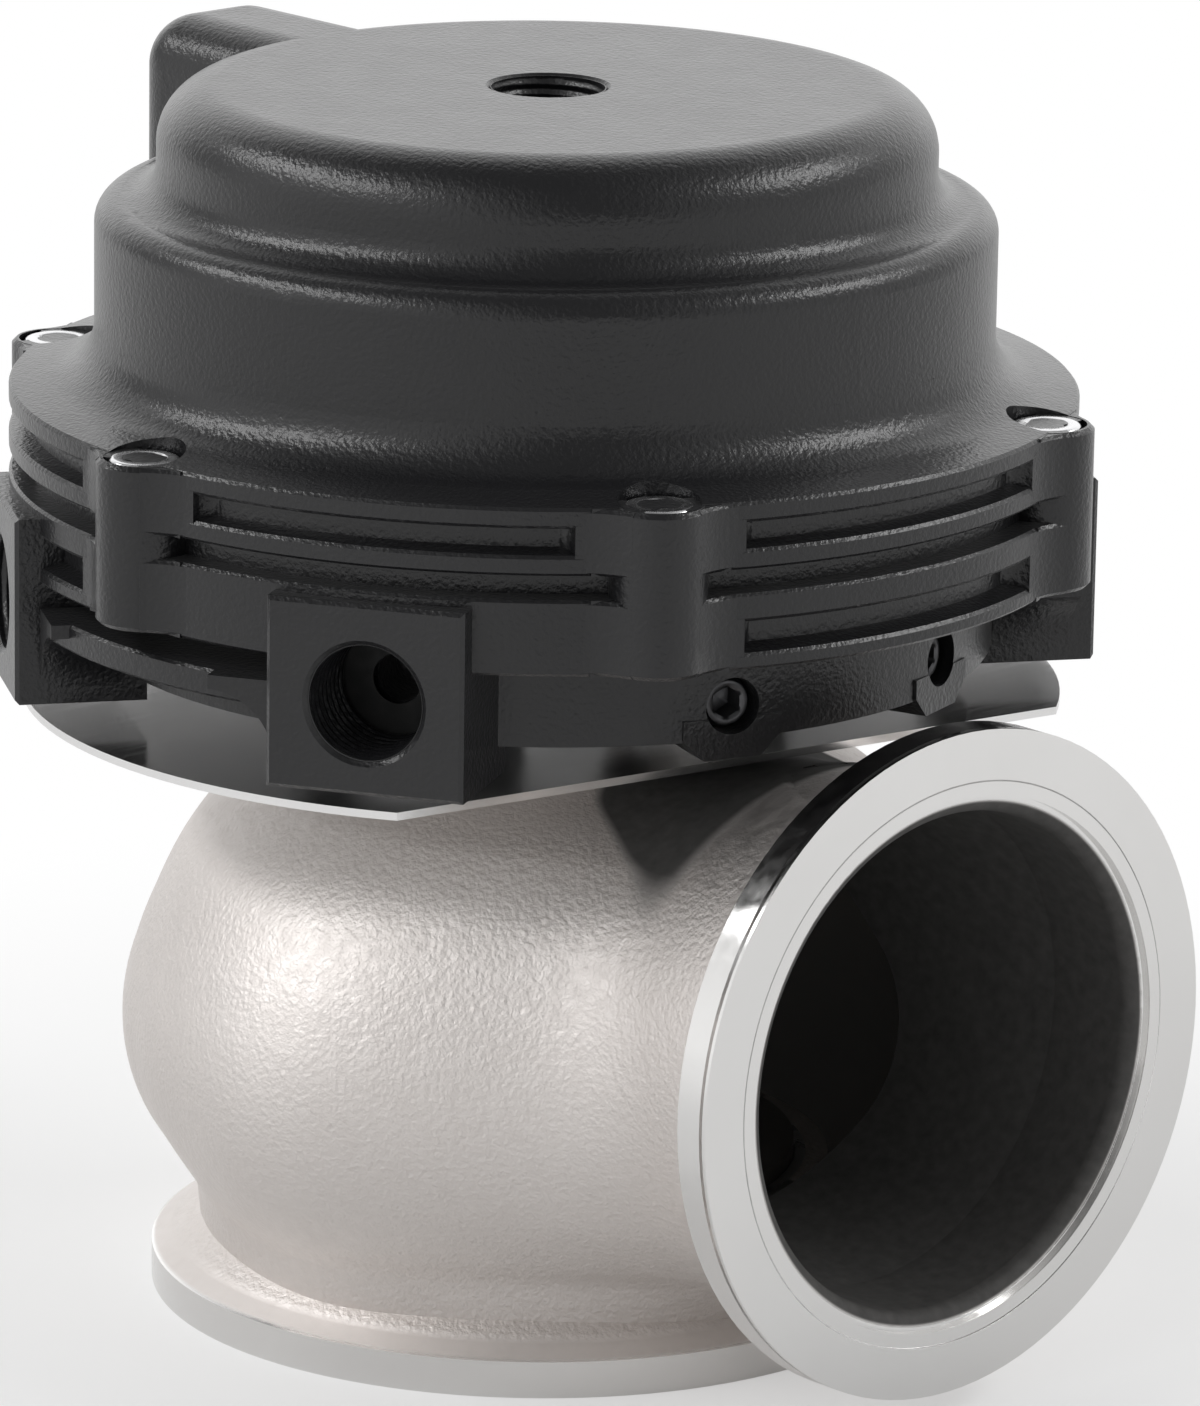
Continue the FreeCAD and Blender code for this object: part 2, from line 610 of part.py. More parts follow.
def make_diaphragm():
    """Rolling diaphragm: clamped rim, one roll round the piston, flat middle on the plate."""
    low = "shoulder_height + plate_thickness"
    high = low + " + diaphragm_thickness"
    crest = "joint_height + roll_height"
    under = "joint_height - diaphragm_rim / 2"
    over = "joint_height + diaphragm_rim / 2"
    return turned("diaphragm", [
        ("tail_radius + tail_fit", low),
        ("piston_radius - 0.3", low),
        ("piston_radius + 1.9", low + " + 1.8"),
        ("piston_radius + 2.5", under + " + 0.6"),
        ("roll_radius", crest + " - 1.1"),
        ("roll_radius + 1.3", under + " + 1"),
        ("chamber_radius", under),
        ("diaphragm_radius", under),
        ("diaphragm_radius", over),
        ("chamber_radius + 0.1", over),
        ("roll_radius + 1.4", over + " + 0.9"),
        ("roll_radius", crest),
        ("roll_radius - 1.8", crest + " - 0.7"),
        ("piston_radius + 1", over + " - 0.6"),
        ("piston_radius + 0.7", high + " + 1.5"),
        ("piston_radius - 0.8", high),
        ("tail_radius + tail_fit", high),
    ])


STACK = "shoulder_height + plate_thickness + diaphragm_thickness"
CEILING = "cover_top - top_wall"
LUG_PORT = "cover_top - lug_port_drop"


def make_piston():
    """Shallow cup on the diaphragm that carries the springs."""
    return turned("piston", [
        ("tail_radius + tail_fit", STACK),
        ("piston_radius - piston_chamfer", STACK),
        ("piston_radius", STACK + " + piston_chamfer"),
        ("piston_radius", STACK + " + piston_height"),
        ("piston_radius - piston_wall", STACK + " + piston_height"),
        ("piston_radius - piston_wall", STACK + " + piston_floor"),
        ("tail_radius + tail_fit", STACK + " + piston_floor"),
    ])


def make_stem_washer():
    """Washer between the nut and the piston."""
    base = STACK + " + piston_floor"
    return turned("stem_washer", [
        ("tail_radius + tail_fit", base),
        ("washer_radius", base),
        ("washer_radius", base + " + washer_thickness"),
        ("tail_radius + tail_fit", base + " + washer_thickness"),
    ])


def make_stem_nut():
    """Hexagon nut that clamps the stack against the stem's shoulder."""
    base = STACK + " + piston_floor + washer_thickness"
    blank = hexagon("nut_blank", "nut_key", "nut_height")
    bind(blank, Placement__Base__z=base)
    hole = upright("nut_hole", "tail_radius + tail_fit / 2", base + " - 1", base + " + nut_height + 1")
    return cut("stem_nut", blank, [hole])


def make_spring(label):
    """Wire coiled about the axis, its ends ground flat on the piston and the locator."""
    radius, wire = value(label + "_radius"), value(label + "_wire")
    low = number_of(STACK + " + piston_floor")
    length = number_of(CEILING + " - locator_thickness") - low
    inset = wire * 0.2
    helix = Part.makeHelix(value(label + "_pitch"), length - 2 * inset, radius)
    corners = []
    for index in range(WIRE_SIDES + 1):
        turn = 2 * math.pi * (index + 0.5) / WIRE_SIDES
        corners.append(FreeCAD.Vector(radius + wire / 2 * math.cos(turn), 0, wire / 2 * math.sin(turn)))
    coil = Part.Wire(helix).makePipeShell([Part.makePolygon(corners)], True, True)
    coil.translate(FreeCAD.Vector(0, 0, inset))
    spring = doc.addObject("Part::Feature", label)
    spring.Shape = coil.common(Part.makeCylinder(radius + wire, length))
    spring.Placement = FreeCAD.Placement(FreeCAD.Vector(0, 0, low), FreeCAD.Rotation())
    return spring


def make_spring_locator():
    """Washer under the ceiling, centred on the top port's boss, that the springs press on."""
    return turned("spring_locator", [
        ("locator_bore", CEILING + " - locator_thickness"),
        ("locator_radius", CEILING + " - locator_thickness"),
        ("locator_radius", CEILING),
        ("locator_bore", CEILING),
    ])


# ---------------------------------------------------------------- actuator base
def rim_ring(label, low, high):
    """Ring from the skirt out to the rim's radius, with its outer edges broken."""
    ring = turned(label, [
        ("skirt_radius - 1", low),
        ("rim_radius", low),
        ("rim_radius", high),
        ("skirt_radius - 1", high),
    ])
    broken(ring, label + "_edges", "lip_edge", [("rim_radius", low), ("rim_radius", high)])
    return ring


def make_port_block(index, angle):
    """Square block for a port, with the edges of its face broken."""
    block = radial_box("port_block_blank_%d" % index, "block_root", "block_face", "block_width",
                       "block_bottom", "block_top", angle)
    across, up = math.cos(math.radians(angle)), math.sin(math.radians(angle))

    def on_face(edge):
        middle = edge.CenterOfMass
        return abs(middle.x * across + middle.y * up - value("block_face")) < 1e-6

    return edges_cut("port_block_%d" % index, block, "block_edge", on_face)


def make_actuator_base():
    """Base with a grooved rim, six lobes, four port blocks, a skirt and a hub for the stem."""
    groove = "base_groove_depth"
    core = turned("base_core", [
        ("stem_radius + 0.6", "hub_bottom"),
        ("hub_radius", "hub_bottom"),
        ("hub_radius", "collar_top + base_pocket_gap"),
        ("collar_radius + collar_fit", "collar_top + base_pocket_gap"),
        ("collar_radius + collar_fit", "base_bottom"),
        ("skirt_radius", "base_bottom"),
        ("skirt_radius", "base_rim_bottom"),
        ("rim_radius", "base_rim_bottom"),
        ("rim_radius", "base_groove_bottom"),
        ("rim_radius - " + groove, "base_groove_bottom + 0.5"),
        ("rim_radius - " + groove, "base_groove_top - 0.5"),
        ("rim_radius", "base_groove_top"),
        ("rim_radius", "base_rim_top"),
        ("land_radius", "base_rim_top"),
        ("land_radius", "joint_height"),
        ("diaphragm_radius + rim_fit", "joint_height"),
        ("diaphragm_radius + rim_fit", "joint_height - diaphragm_rim / 2"),
        ("chamber_radius", "joint_height - diaphragm_rim / 2"),
        ("chamber_radius", "base_floor"),
        ("hub_top_radius", "base_floor"),
        ("hub_top_radius", "hub_top"),
        ("bushing_radius", "hub_top"),
        ("bushing_radius", "hub_bottom + hub_lip"),
        ("stem_radius + 0.6", "hub_bottom + hub_lip"),
    ])
    broken(core, "base_lip_edges", "lip_edge",
           [("rim_radius", "base_rim_bottom"), ("rim_radius", "base_groove_bottom"),
            ("rim_radius", "base_groove_top"), ("rim_radius", "base_rim_top")])
    pieces = [core]

    lip_disc = rim_ring("rear_lip_disc", "lip_bottom", "lip_top")
    lip_trim = radial_box("rear_lip_trim", "lip_start", "rim_radius + 5", "rim_radius * 2 + 5",
                          "lip_bottom - 1", "lip_top + 1", 0)
    pieces.append(cut("rear_lip", lip_disc, [lip_trim]))

    block, rear = value("block_angle"), value("rear_block_angle")
    first = value("first_screw_angle")
    for name, first, last in (("right", -90, -first), ("left", first, 90)):
        band = doc.addObject("Part::Common", name + "_band")
        band.Base = rim_ring(name + "_band_ring", "base_rim_bottom", "base_rim_top")
        band.Tool = sector(name + "_band_wedge", "rim_radius + 1", "base_rim_bottom - 1",
                           "base_rim_top + 1", first, last)
        pieces.append(band)

    for index, angle in enumerate(SCREW_ANGLES, start=1):
        turn = value("first_screw_angle") + angle
        pieces.append(upright("base_lobe_%d" % index, "lobe_radius", "base_lobe_bottom + lobe_edge",
                              "joint_height", "screw_circle", turn))
        pieces.append(upright("base_lobe_end_%d" % index, "lobe_radius - lobe_edge", "base_lobe_bottom",
                              "base_lobe_bottom + lobe_edge", "screw_circle", turn,
                              end_radius="lobe_radius"))
        pieces.append(radial_box("base_pillar_%d" % index, "skirt_radius", "pillar_reach",
                                 "pillar_width", "base_rim_bottom", "base_rim_top", turn))

    block_angles = (-block, block, -rear, rear)
    for index, angle in enumerate(block_angles, start=1):
        pieces.append(make_port_block(index, angle))
    web = "block_width / 2 + web_radius / 2"
    webs = ((-block, -1), (block, 1), (block, -1), (-rear, 1), (-rear, -1), (rear, 1), (rear, -1))
    for index, (angle, side) in enumerate(webs, start=1):
        plate = radial_box("web_plate_%d" % index, "skirt_radius - 1", "web_reach", "web_radius",
                           "lip_top - web_radius - 1.2", "lip_top", angle, "%d * (%s)" % (side, web))
        hollow = radial("web_hollow_%d" % index, "web_radius", "skirt_radius - 2", "web_reach + 1",
                        "lip_top - web_radius - 1.2", angle)
        away = "%d * (block_width / 2 + web_radius)" % side
        bind(hollow,
             Placement__Base__x="(skirt_radius - 2) * cos(%s) - (%s) * sin(%s)" % (angle, away, angle),
             Placement__Base__y="(skirt_radius - 2) * sin(%s) + (%s) * cos(%s)" % (angle, away, angle))
        pieces.append(cut("web_%d" % index, plate, [hollow]))

    def long_and_low(edge):
        level = all(abs(point.Z - value("foot_bottom")) < 1e-6 for point in edge.Vertexes)
        return level and abs(edge.Length - (value("skirt_radius") - value("foot_root"))) < 1e-6

    turn = value("set_screw_angle")
    for index, angle in enumerate((-turn, turn), start=1):
        block = radial_box("foot_block_%d" % index, "foot_root", "skirt_radius", "foot_width",
                           "foot_bottom", "base_bottom + foot_slope", angle)
        pieces.append(edges_cut("foot_%d" % index, block, "foot_slope", long_and_low))
    doc.recompute()
    whole = fused("base_solid", pieces)
    doc.recompute()

    tools = [upright("base_rim_pocket", "diaphragm_radius + rim_fit", "joint_height - diaphragm_rim / 2",
                     "joint_height + 1")]
    for index, angle in enumerate(block_angles, start=1):
        tools.append(radial("base_port_%d" % index, "port_radius", "block_face - port_depth",
                            "block_face + 1", "port_height", angle))
        tools.append(radial("base_port_mouth_%d" % index, "port_radius", "block_face - port_chamfer",
                            "block_face + port_chamfer", "port_height", angle,
                            end_radius="port_radius + 2 * port_chamfer"))
        tools.append(radial("base_passage_%d" % index, "passage_radius", "passage_place",
                            "block_face - port_depth + 1", "port_height", angle))
        tools.append(upright("base_rise_%d" % index, "passage_radius", "port_height", "base_floor + 1",
                             "passage_place", angle))
    for index, angle in enumerate((-turn, turn), start=1):
        tools.append(radial("set_screw_hole_%d" % index, "set_screw_radius + set_screw_hole_fit",
                            "collar_radius - 1", "skirt_radius + 1", "groove_height", angle))
    for index, angle in enumerate(SCREW_ANGLES, start=1):
        tools.append(upright("tapped_hole_%d" % index, "screw_radius + 0.05",
                             "head_bottom - screw_length - 0.2", "joint_height + 1",
                             "screw_circle", value("first_screw_angle") + angle))
    return cut("actuator_base", whole, tools)


def make_base_bushing():
    """Bushing in the hub that the stem runs in."""
    return turned("base_bushing", [
        ("stem_radius + stem_fit", "hub_bottom + hub_lip"),
        ("bushing_radius", "hub_bottom + hub_lip"),
        ("bushing_radius", "bushing_top"),
        ("stem_radius + stem_fit", "bushing_top"),
    ])


def make_stem_seal():
    """U cup that seals the stem, with its open side up."""
    base = "bushing_top + piece_gap"
    middle = "(stem_radius + stem_fit + bushing_radius) / 2"
    return turned("stem_seal", [
        ("stem_radius + stem_fit", base),
        ("bushing_radius", base),
        ("bushing_radius", "seal_top"),
        (middle + " + 0.4", "seal_top"),
        (middle, base + " + 1"),
        (middle + " - 0.4", "seal_top"),
        ("stem_radius + stem_fit", "seal_top"),
    ])


def make_seal_retainer():
    """Ring pressed in over the seal."""
    return turned("seal_retainer", [
        ("stem_radius + 0.6", "seal_top + piece_gap"),
        ("bushing_radius", "seal_top + piece_gap"),
        ("bushing_radius", "retainer_top"),
        ("stem_radius + 0.6", "retainer_top"),
    ])


# ---------------------------------------------------------------- actuator cover
def make_actuator_cover():
    """Two-tier dome with a grooved rim, six lobes, a side lug and two ports."""
    outline = [
        ("0", CEILING + " - ceiling_boss_height"),
        ("ceiling_boss_radius", CEILING + " - ceiling_boss_height"),
        ("ceiling_boss_radius", CEILING),
        ("upper_bore", CEILING),
        ("upper_bore", CEILING + " - upper_bore_height"),
        ("lower_bore", CEILING + " - upper_bore_height"),
        ("lower_bore", "joint_height + diaphragm_rim / 2"),
        ("diaphragm_radius + rim_fit", "joint_height + diaphragm_rim / 2"),
        ("diaphragm_radius + rim_fit", "joint_height"),
        ("land_radius", "joint_height"),
        ("land_radius", "cover_rim_bottom"),
        ("rim_radius", "cover_rim_bottom"),
        ("rim_radius", "cover_groove_bottom"),
        ("rim_radius - cover_groove_depth", "cover_groove_bottom + cover_groove_slope"),
        ("rim_radius - cover_groove_depth", "cover_groove_top - cover_groove_slope"),
        ("rim_radius", "cover_groove_top"),
        ("rim_radius", "cover_rim_top"),
        ("wall_radius", "wall_bottom"),
        ("wall_radius", "tier_bottom"),
        ("tier_radius", "tier_bottom"),
        ("tier_radius", "cover_top"),
        ("0", "cover_top"),
    ]
    dome = turned("cover_dome", outline)
    rounded(dome, "cover_top_edge", "top_rounding", [("tier_radius", "cover_top")])
    rounded(dome, "cover_shoulder_edge", "shoulder_rounding", [("wall_radius", "tier_bottom")])
    rounded(dome, "cover_shoulder_hollow", "shoulder_hollow", [("tier_radius", "tier_bottom")])
    rounded(dome, "cover_flange_hollow", "flange_hollow", [("wall_radius", "wall_bottom")])
    broken(dome, "cover_lip_edges", "lip_edge",
           [("rim_radius", "cover_rim_bottom"), ("rim_radius", "cover_groove_bottom"),
            ("rim_radius", "cover_groove_top"), ("rim_radius", "cover_rim_top")])

    lug_bottom = LUG_PORT + " - lug_below"
    block = radial_box("lug_block", "lug_root", "lug_reach", "lug_width", lug_bottom, "cover_top", 180)
    doc.recompute()
    lug = doc.addObject("Part::Fillet", "side_lug")
    lug.Base = block
    size = value("lug_rounding")
    edges = []
    for number, edge in enumerate(block.Shape.Edges, start=1):
        middle = edge.CenterOfMass
        outer_end = abs(middle.x + value("lug_reach")) < 1e-6
        top_side = abs(middle.z - value("cover_top")) < 1e-6 and abs(middle.y) > 1e-6
        bottom_edge = abs(middle.z - number_of(lug_bottom)) < 1e-6
        if (outer_end and not bottom_edge) or top_side:
            edges.append((number, size, size))
    lug.Edges = edges
    inside = upright("lug_inside", "upper_bore + 1", lug_bottom + " - 1", CEILING)
    pieces = [dome, cut("lug_shell", lug, [inside])]
    for index, angle in enumerate(SCREW_ANGLES, start=1):
        turn = value("first_screw_angle") + angle
        pieces.append(upright("cover_lobe_%d" % index, "lobe_radius", "joint_height",
                              "cover_rim_top - lobe_edge", "screw_circle", turn))
        pieces.append(upright("cover_lobe_end_%d" % index, "lobe_radius", "cover_rim_top - lobe_edge",
                              "cover_rim_top", "screw_circle", turn,
                              end_radius="lobe_radius - lobe_edge"))
        pieces.append(radial_box("cover_pillar_%d" % index, "wall_radius", "pillar_reach",
                                 "pillar_width", "cover_rim_bottom", "cover_rim_top", turn))
    doc.recompute()
    whole = fused("cover_solid", pieces)
    doc.recompute()

    tools = [
        upright("cover_rim_pocket", "diaphragm_radius + rim_fit", "joint_height - 1",
                "joint_height + diaphragm_rim / 2"),
        upright("top_port_mouth", "port_radius", "cover_top - port_chamfer", "cover_top + port_chamfer",
                end_radius="port_radius + 2 * port_chamfer"),
        upright("top_port", "port_radius", CEILING + " - ceiling_boss_height - 1", "cover_top + 1"),
        radial("side_port", "port_radius", "lug_reach - port_depth", "lug_reach + 1", LUG_PORT, 180),
        radial("side_port_mouth", "port_radius", "lug_reach - port_chamfer",
               "lug_reach + port_chamfer", LUG_PORT, 180,
               end_radius="port_radius + 2 * port_chamfer"),
        radial("side_passage", "passage_radius", "upper_bore - 2", "lug_reach - port_depth + 1",
               LUG_PORT, 180),
    ]
    for index, angle in enumerate(SCREW_ANGLES, start=1):
        place = ("screw_circle", value("first_screw_angle") + angle)
        tools.append(upright("counterbore_%d" % index, "counterbore_radius", "head_bottom",
                             "cover_rim_top + 6", *place))
        tools.append(upright("screw_hole_%d" % index, "screw_radius + screw_hole_fit",
                             "joint_height - 1", "head_bottom + 1", *place))
    return cut("actuator_cover", whole, tools)


def make_cover_screws():
    """Six socket head screws in their counterbores."""
    screws = []
    for index, angle in enumerate(SCREW_ANGLES, start=1):
        place = ("screw_circle", value("first_screw_angle") + angle)
        head = upright("screw_head_%d" % index, "screw_head_radius", "head_bottom",
                       "head_bottom + screw_head_height - screw_head_edge", *place)
        rim = upright("screw_rim_%d" % index, "screw_head_radius",
                      "head_bottom + screw_head_height - screw_head_edge",
                      "head_bottom + screw_head_height", *place,
                      end_radius="screw_head_radius - screw_head_edge")
        shank = upright("screw_shank_%d" % index, "screw_radius", "head_bottom - screw_length",
                        "head_bottom", *place)
        socket = hexagon("screw_socket_%d" % index, "screw_key", "screw_key_depth + 1")
        bind(socket, Placement__Base__x="screw_circle * cos(%s)" % place[1],
             Placement__Base__y="screw_circle * sin(%s)" % place[1],
             Placement__Base__z="head_bottom + screw_head_height - screw_key_depth")
        blank = fused("screw_blank_%d" % index, [head, rim, shank])
        screws.append(cut("screw_%d" % index, blank, [socket]))
    group = doc.addObject("Part::Compound", "cover_screws")
    group.Links = screws
    return group


def make_set_screws():
    """Two cone point set screws that grip the collar's groove."""
    screws = []
    turn = value("set_screw_angle")
    for index, angle in enumerate((-turn, turn), start=1):
        shank = radial("set_shank_%d" % index, "set_screw_radius", "set_screw_tip + set_screw_point",
                       "set_screw_end", "groove_height", angle)
        point = radial("set_point_%d" % index, "set_screw_point_radius", "set_screw_tip",
                       "set_screw_tip + set_screw_point", "groove_height", angle,
                       end_radius="set_screw_radius")
        socket = hexagon("set_socket_%d" % index, "set_screw_key", "set_screw_key_depth + 1")
        heading = FreeCAD.Vector(math.cos(math.radians(angle)), math.sin(math.radians(angle)), 0)
        socket.Placement = FreeCAD.Placement(FreeCAD.Vector(),
                                             FreeCAD.Rotation(FreeCAD.Vector(0, 0, 1), heading))
        bind(socket,
             Placement__Base__x="(set_screw_end - set_screw_key_depth) * cos(%s)" % angle,
             Placement__Base__y="(set_screw_end - set_screw_key_depth) * sin(%s)" % angle,
             Placement__Base__z="groove_height")
        screws.append(cut("set_screw_%d" % index, fused("set_blank_%d" % index, [shank, point]), [socket]))
    group = doc.addObject("Part::Compound", "set_screws")
    group.Links = screws
    return group


# ---------------------------------------------------------------- build, check and write
SUBPARTS = [
    make_valve_body(),
    make_valve_seat(),
    make_valve_guide(),
    make_stem_baffle(),
    make_heat_shield(),
    make_clamp_collar(),
    make_valve(),
    make_diaphragm_plate(),
    make_diaphragm(),
    make_piston(),
    make_stem_washer(),
    make_stem_nut(),
    make_spring("outer_spring"),
    make_spring("middle_spring"),
    make_spring("inner_spring"),
    make_spring_locator(),
    make_actuator_base(),
    make_base_bushing(),
    make_stem_seal(),
    make_seal_retainer(),
    make_actuator_cover(),
    make_cover_screws(),
    make_set_screws(),
]
doc.recompute()

for item in doc.Objects:
    if "Invalid" in item.State or "Error" in item.State:
        raise RuntimeError("%s failed: %s" % (item.Label, item.State))

SEVERAL = {"cover_screws": len(SCREW_ANGLES), "set_screws": 2}
os.makedirs("parts", exist_ok=True)
for item in SUBPARTS:
    shape = item.Shape
    if shape.isNull() or not shape.isValid():
        raise RuntimeError("%s has no valid shape" % item.Label)
    if len(shape.Solids) != SEVERAL.get(item.Label, 1):
        raise RuntimeError("%s has %d solids" % (item.Label, len(shape.Solids)))
for item in SUBPARTS:
    item.Shape.exportStep("parts/%s.step" % item.Label)
    print("%-18s %10.1f mm3" % (item.Label, item.Shape.Volume))
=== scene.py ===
"""Turbo wastegate, dressed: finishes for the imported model, and the small pieces that it leaves out.

Everything is in metres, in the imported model's own frame: +Z up the valve's axis from the inlet
flange's face, +X along the outlet.
"""
import json
import math

import bmesh
import bpy
import numpy as np
from mathutils import Matrix, Vector


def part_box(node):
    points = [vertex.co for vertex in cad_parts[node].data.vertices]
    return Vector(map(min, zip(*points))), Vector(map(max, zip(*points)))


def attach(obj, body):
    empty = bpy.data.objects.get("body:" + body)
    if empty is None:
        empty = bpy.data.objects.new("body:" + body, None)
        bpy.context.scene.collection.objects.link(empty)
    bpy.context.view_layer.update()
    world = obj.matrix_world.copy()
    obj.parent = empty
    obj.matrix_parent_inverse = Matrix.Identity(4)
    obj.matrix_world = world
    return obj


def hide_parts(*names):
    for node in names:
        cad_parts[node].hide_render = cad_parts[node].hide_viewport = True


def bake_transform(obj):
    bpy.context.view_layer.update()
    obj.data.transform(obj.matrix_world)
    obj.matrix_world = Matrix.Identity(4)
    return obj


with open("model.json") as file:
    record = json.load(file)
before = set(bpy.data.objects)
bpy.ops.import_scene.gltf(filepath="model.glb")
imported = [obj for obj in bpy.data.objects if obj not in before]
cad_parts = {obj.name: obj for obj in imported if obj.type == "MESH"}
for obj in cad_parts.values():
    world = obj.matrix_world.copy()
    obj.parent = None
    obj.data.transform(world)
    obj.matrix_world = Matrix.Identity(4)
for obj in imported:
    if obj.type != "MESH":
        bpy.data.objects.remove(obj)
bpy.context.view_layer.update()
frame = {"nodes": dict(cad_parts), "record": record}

MM = 0.001
TURN = 2 * math.pi

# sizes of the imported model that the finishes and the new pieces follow, in millimetres
OUTLET_HEIGHT = 32.4      # the outlet's axis over the inlet flange's face
OUTLET_FACE = 53.4        # the outlet flange's face, just inside it
PASSAGE_RADIUS = 22.9     # just outside the outlet passage's wall
SCREW_CIRCLE = 45.8       # cover screws and their lobes, from the valve's axis
LOBE_RADIUS = 4.2
RIM_RADIUS = 47.15        # the rims' outside, less 0.05 mm
SCREW_ANGLES = [math.radians(30 + 60 * number) for number in range(6)]
SET_SCREW_ANGLE = math.radians(18.1)


# ---------------------------------------------------------------- meshes from whole arrays
def skin(rings, loop=False):
    """Vertices and faces over rings[row, column, xyz].

    Columns close on themselves. Rows close too where loop is set, and otherwise the first and
    the last ring shrink to one point each, so the skin is closed either way.
    """
    rows, columns = rings.shape[:2]
    if loop:
        points = rings.reshape(-1, 3)
        index = np.arange(rows * columns).reshape(rows, columns)
        index = np.vstack([index, index[:1]])
    else:
        points = np.vstack([rings[0].mean(axis=0), rings[1:-1].reshape(-1, 3), rings[-1].mean(axis=0)])
        index = 1 + np.arange((rows - 2) * columns).reshape(rows - 2, columns)
    beside = np.roll(index, -1, axis=1)
    quads = np.stack([index[:-1], beside[:-1], beside[1:], index[1:]], axis=-1).reshape(-1, 4)
    faces = quads.tolist()
    if not loop:
        last = len(points) - 1
        faces += [[0, int(b), int(a)] for a, b in zip(index[0], beside[0])]
        faces += [[last, int(a), int(b)] for a, b in zip(index[-1], beside[-1])]
    return points, faces


def turned(radius, height, columns):
    """Rings about Z: each row has a radius and a height, alone or one for each column."""
    angle = np.linspace(0, TURN, columns, endpoint=False)
    radius = np.broadcast_to(np.reshape(radius, (len(radius), -1)), (len(radius), columns))
    height = np.broadcast_to(np.reshape(height, (len(height), -1)), (len(height), columns))
    return np.stack([radius * np.cos(angle), radius * np.sin(angle), height], axis=-1)


def placed(points, origin, axis):
    """Points moved so that their Z axis lies along an axis from an origin."""
    turn = np.array(Vector(axis).to_track_quat("Z", "Y").to_matrix())
    return points @ turn.T + np.array(origin)


def add_piece(name, parts, material, sharp=35):
    """One object from several skins, faces outwards, shaded smooth but for sharp edges."""
    points, faces, start = [], [], 0
    for some, shape in parts:
        points.append(some)
        faces += [[corner + start for corner in face] for face in shape]
        start += len(some)
    mesh = bpy.data.meshes.new(name)
    mesh.from_pydata(np.vstack(points).tolist(), [], faces)
    work = bmesh.new()
    work.from_mesh(mesh)
    bmesh.ops.recalc_face_normals(work, faces=work.faces)
    work.to_mesh(mesh)
    work.free()
    mesh.shade_smooth()
    mesh.set_sharp_from_angle(angle=math.radians(sharp))
    mesh.materials.append(material)
    item = bpy.data.objects.new(name, mesh)
    bpy.context.scene.collection.objects.link(item)
    return item


def thread_wave(height, pitch, columns):
    """How far a 60 degree thread stands at each row's height and column, from 0 to 1.

    A triangle wave climbs one pitch a turn, with its tips cut to narrow flats.
    """
    angle = np.linspace(0, 1, columns, endpoint=False)
    phase = np.reshape(height, (-1, 1)) / pitch - angle
    wave = np.abs(2 * (phase - np.floor(phase)) - 1)
    return np.clip(0.5 + (wave - 0.5) * 1.35, 0, 1)


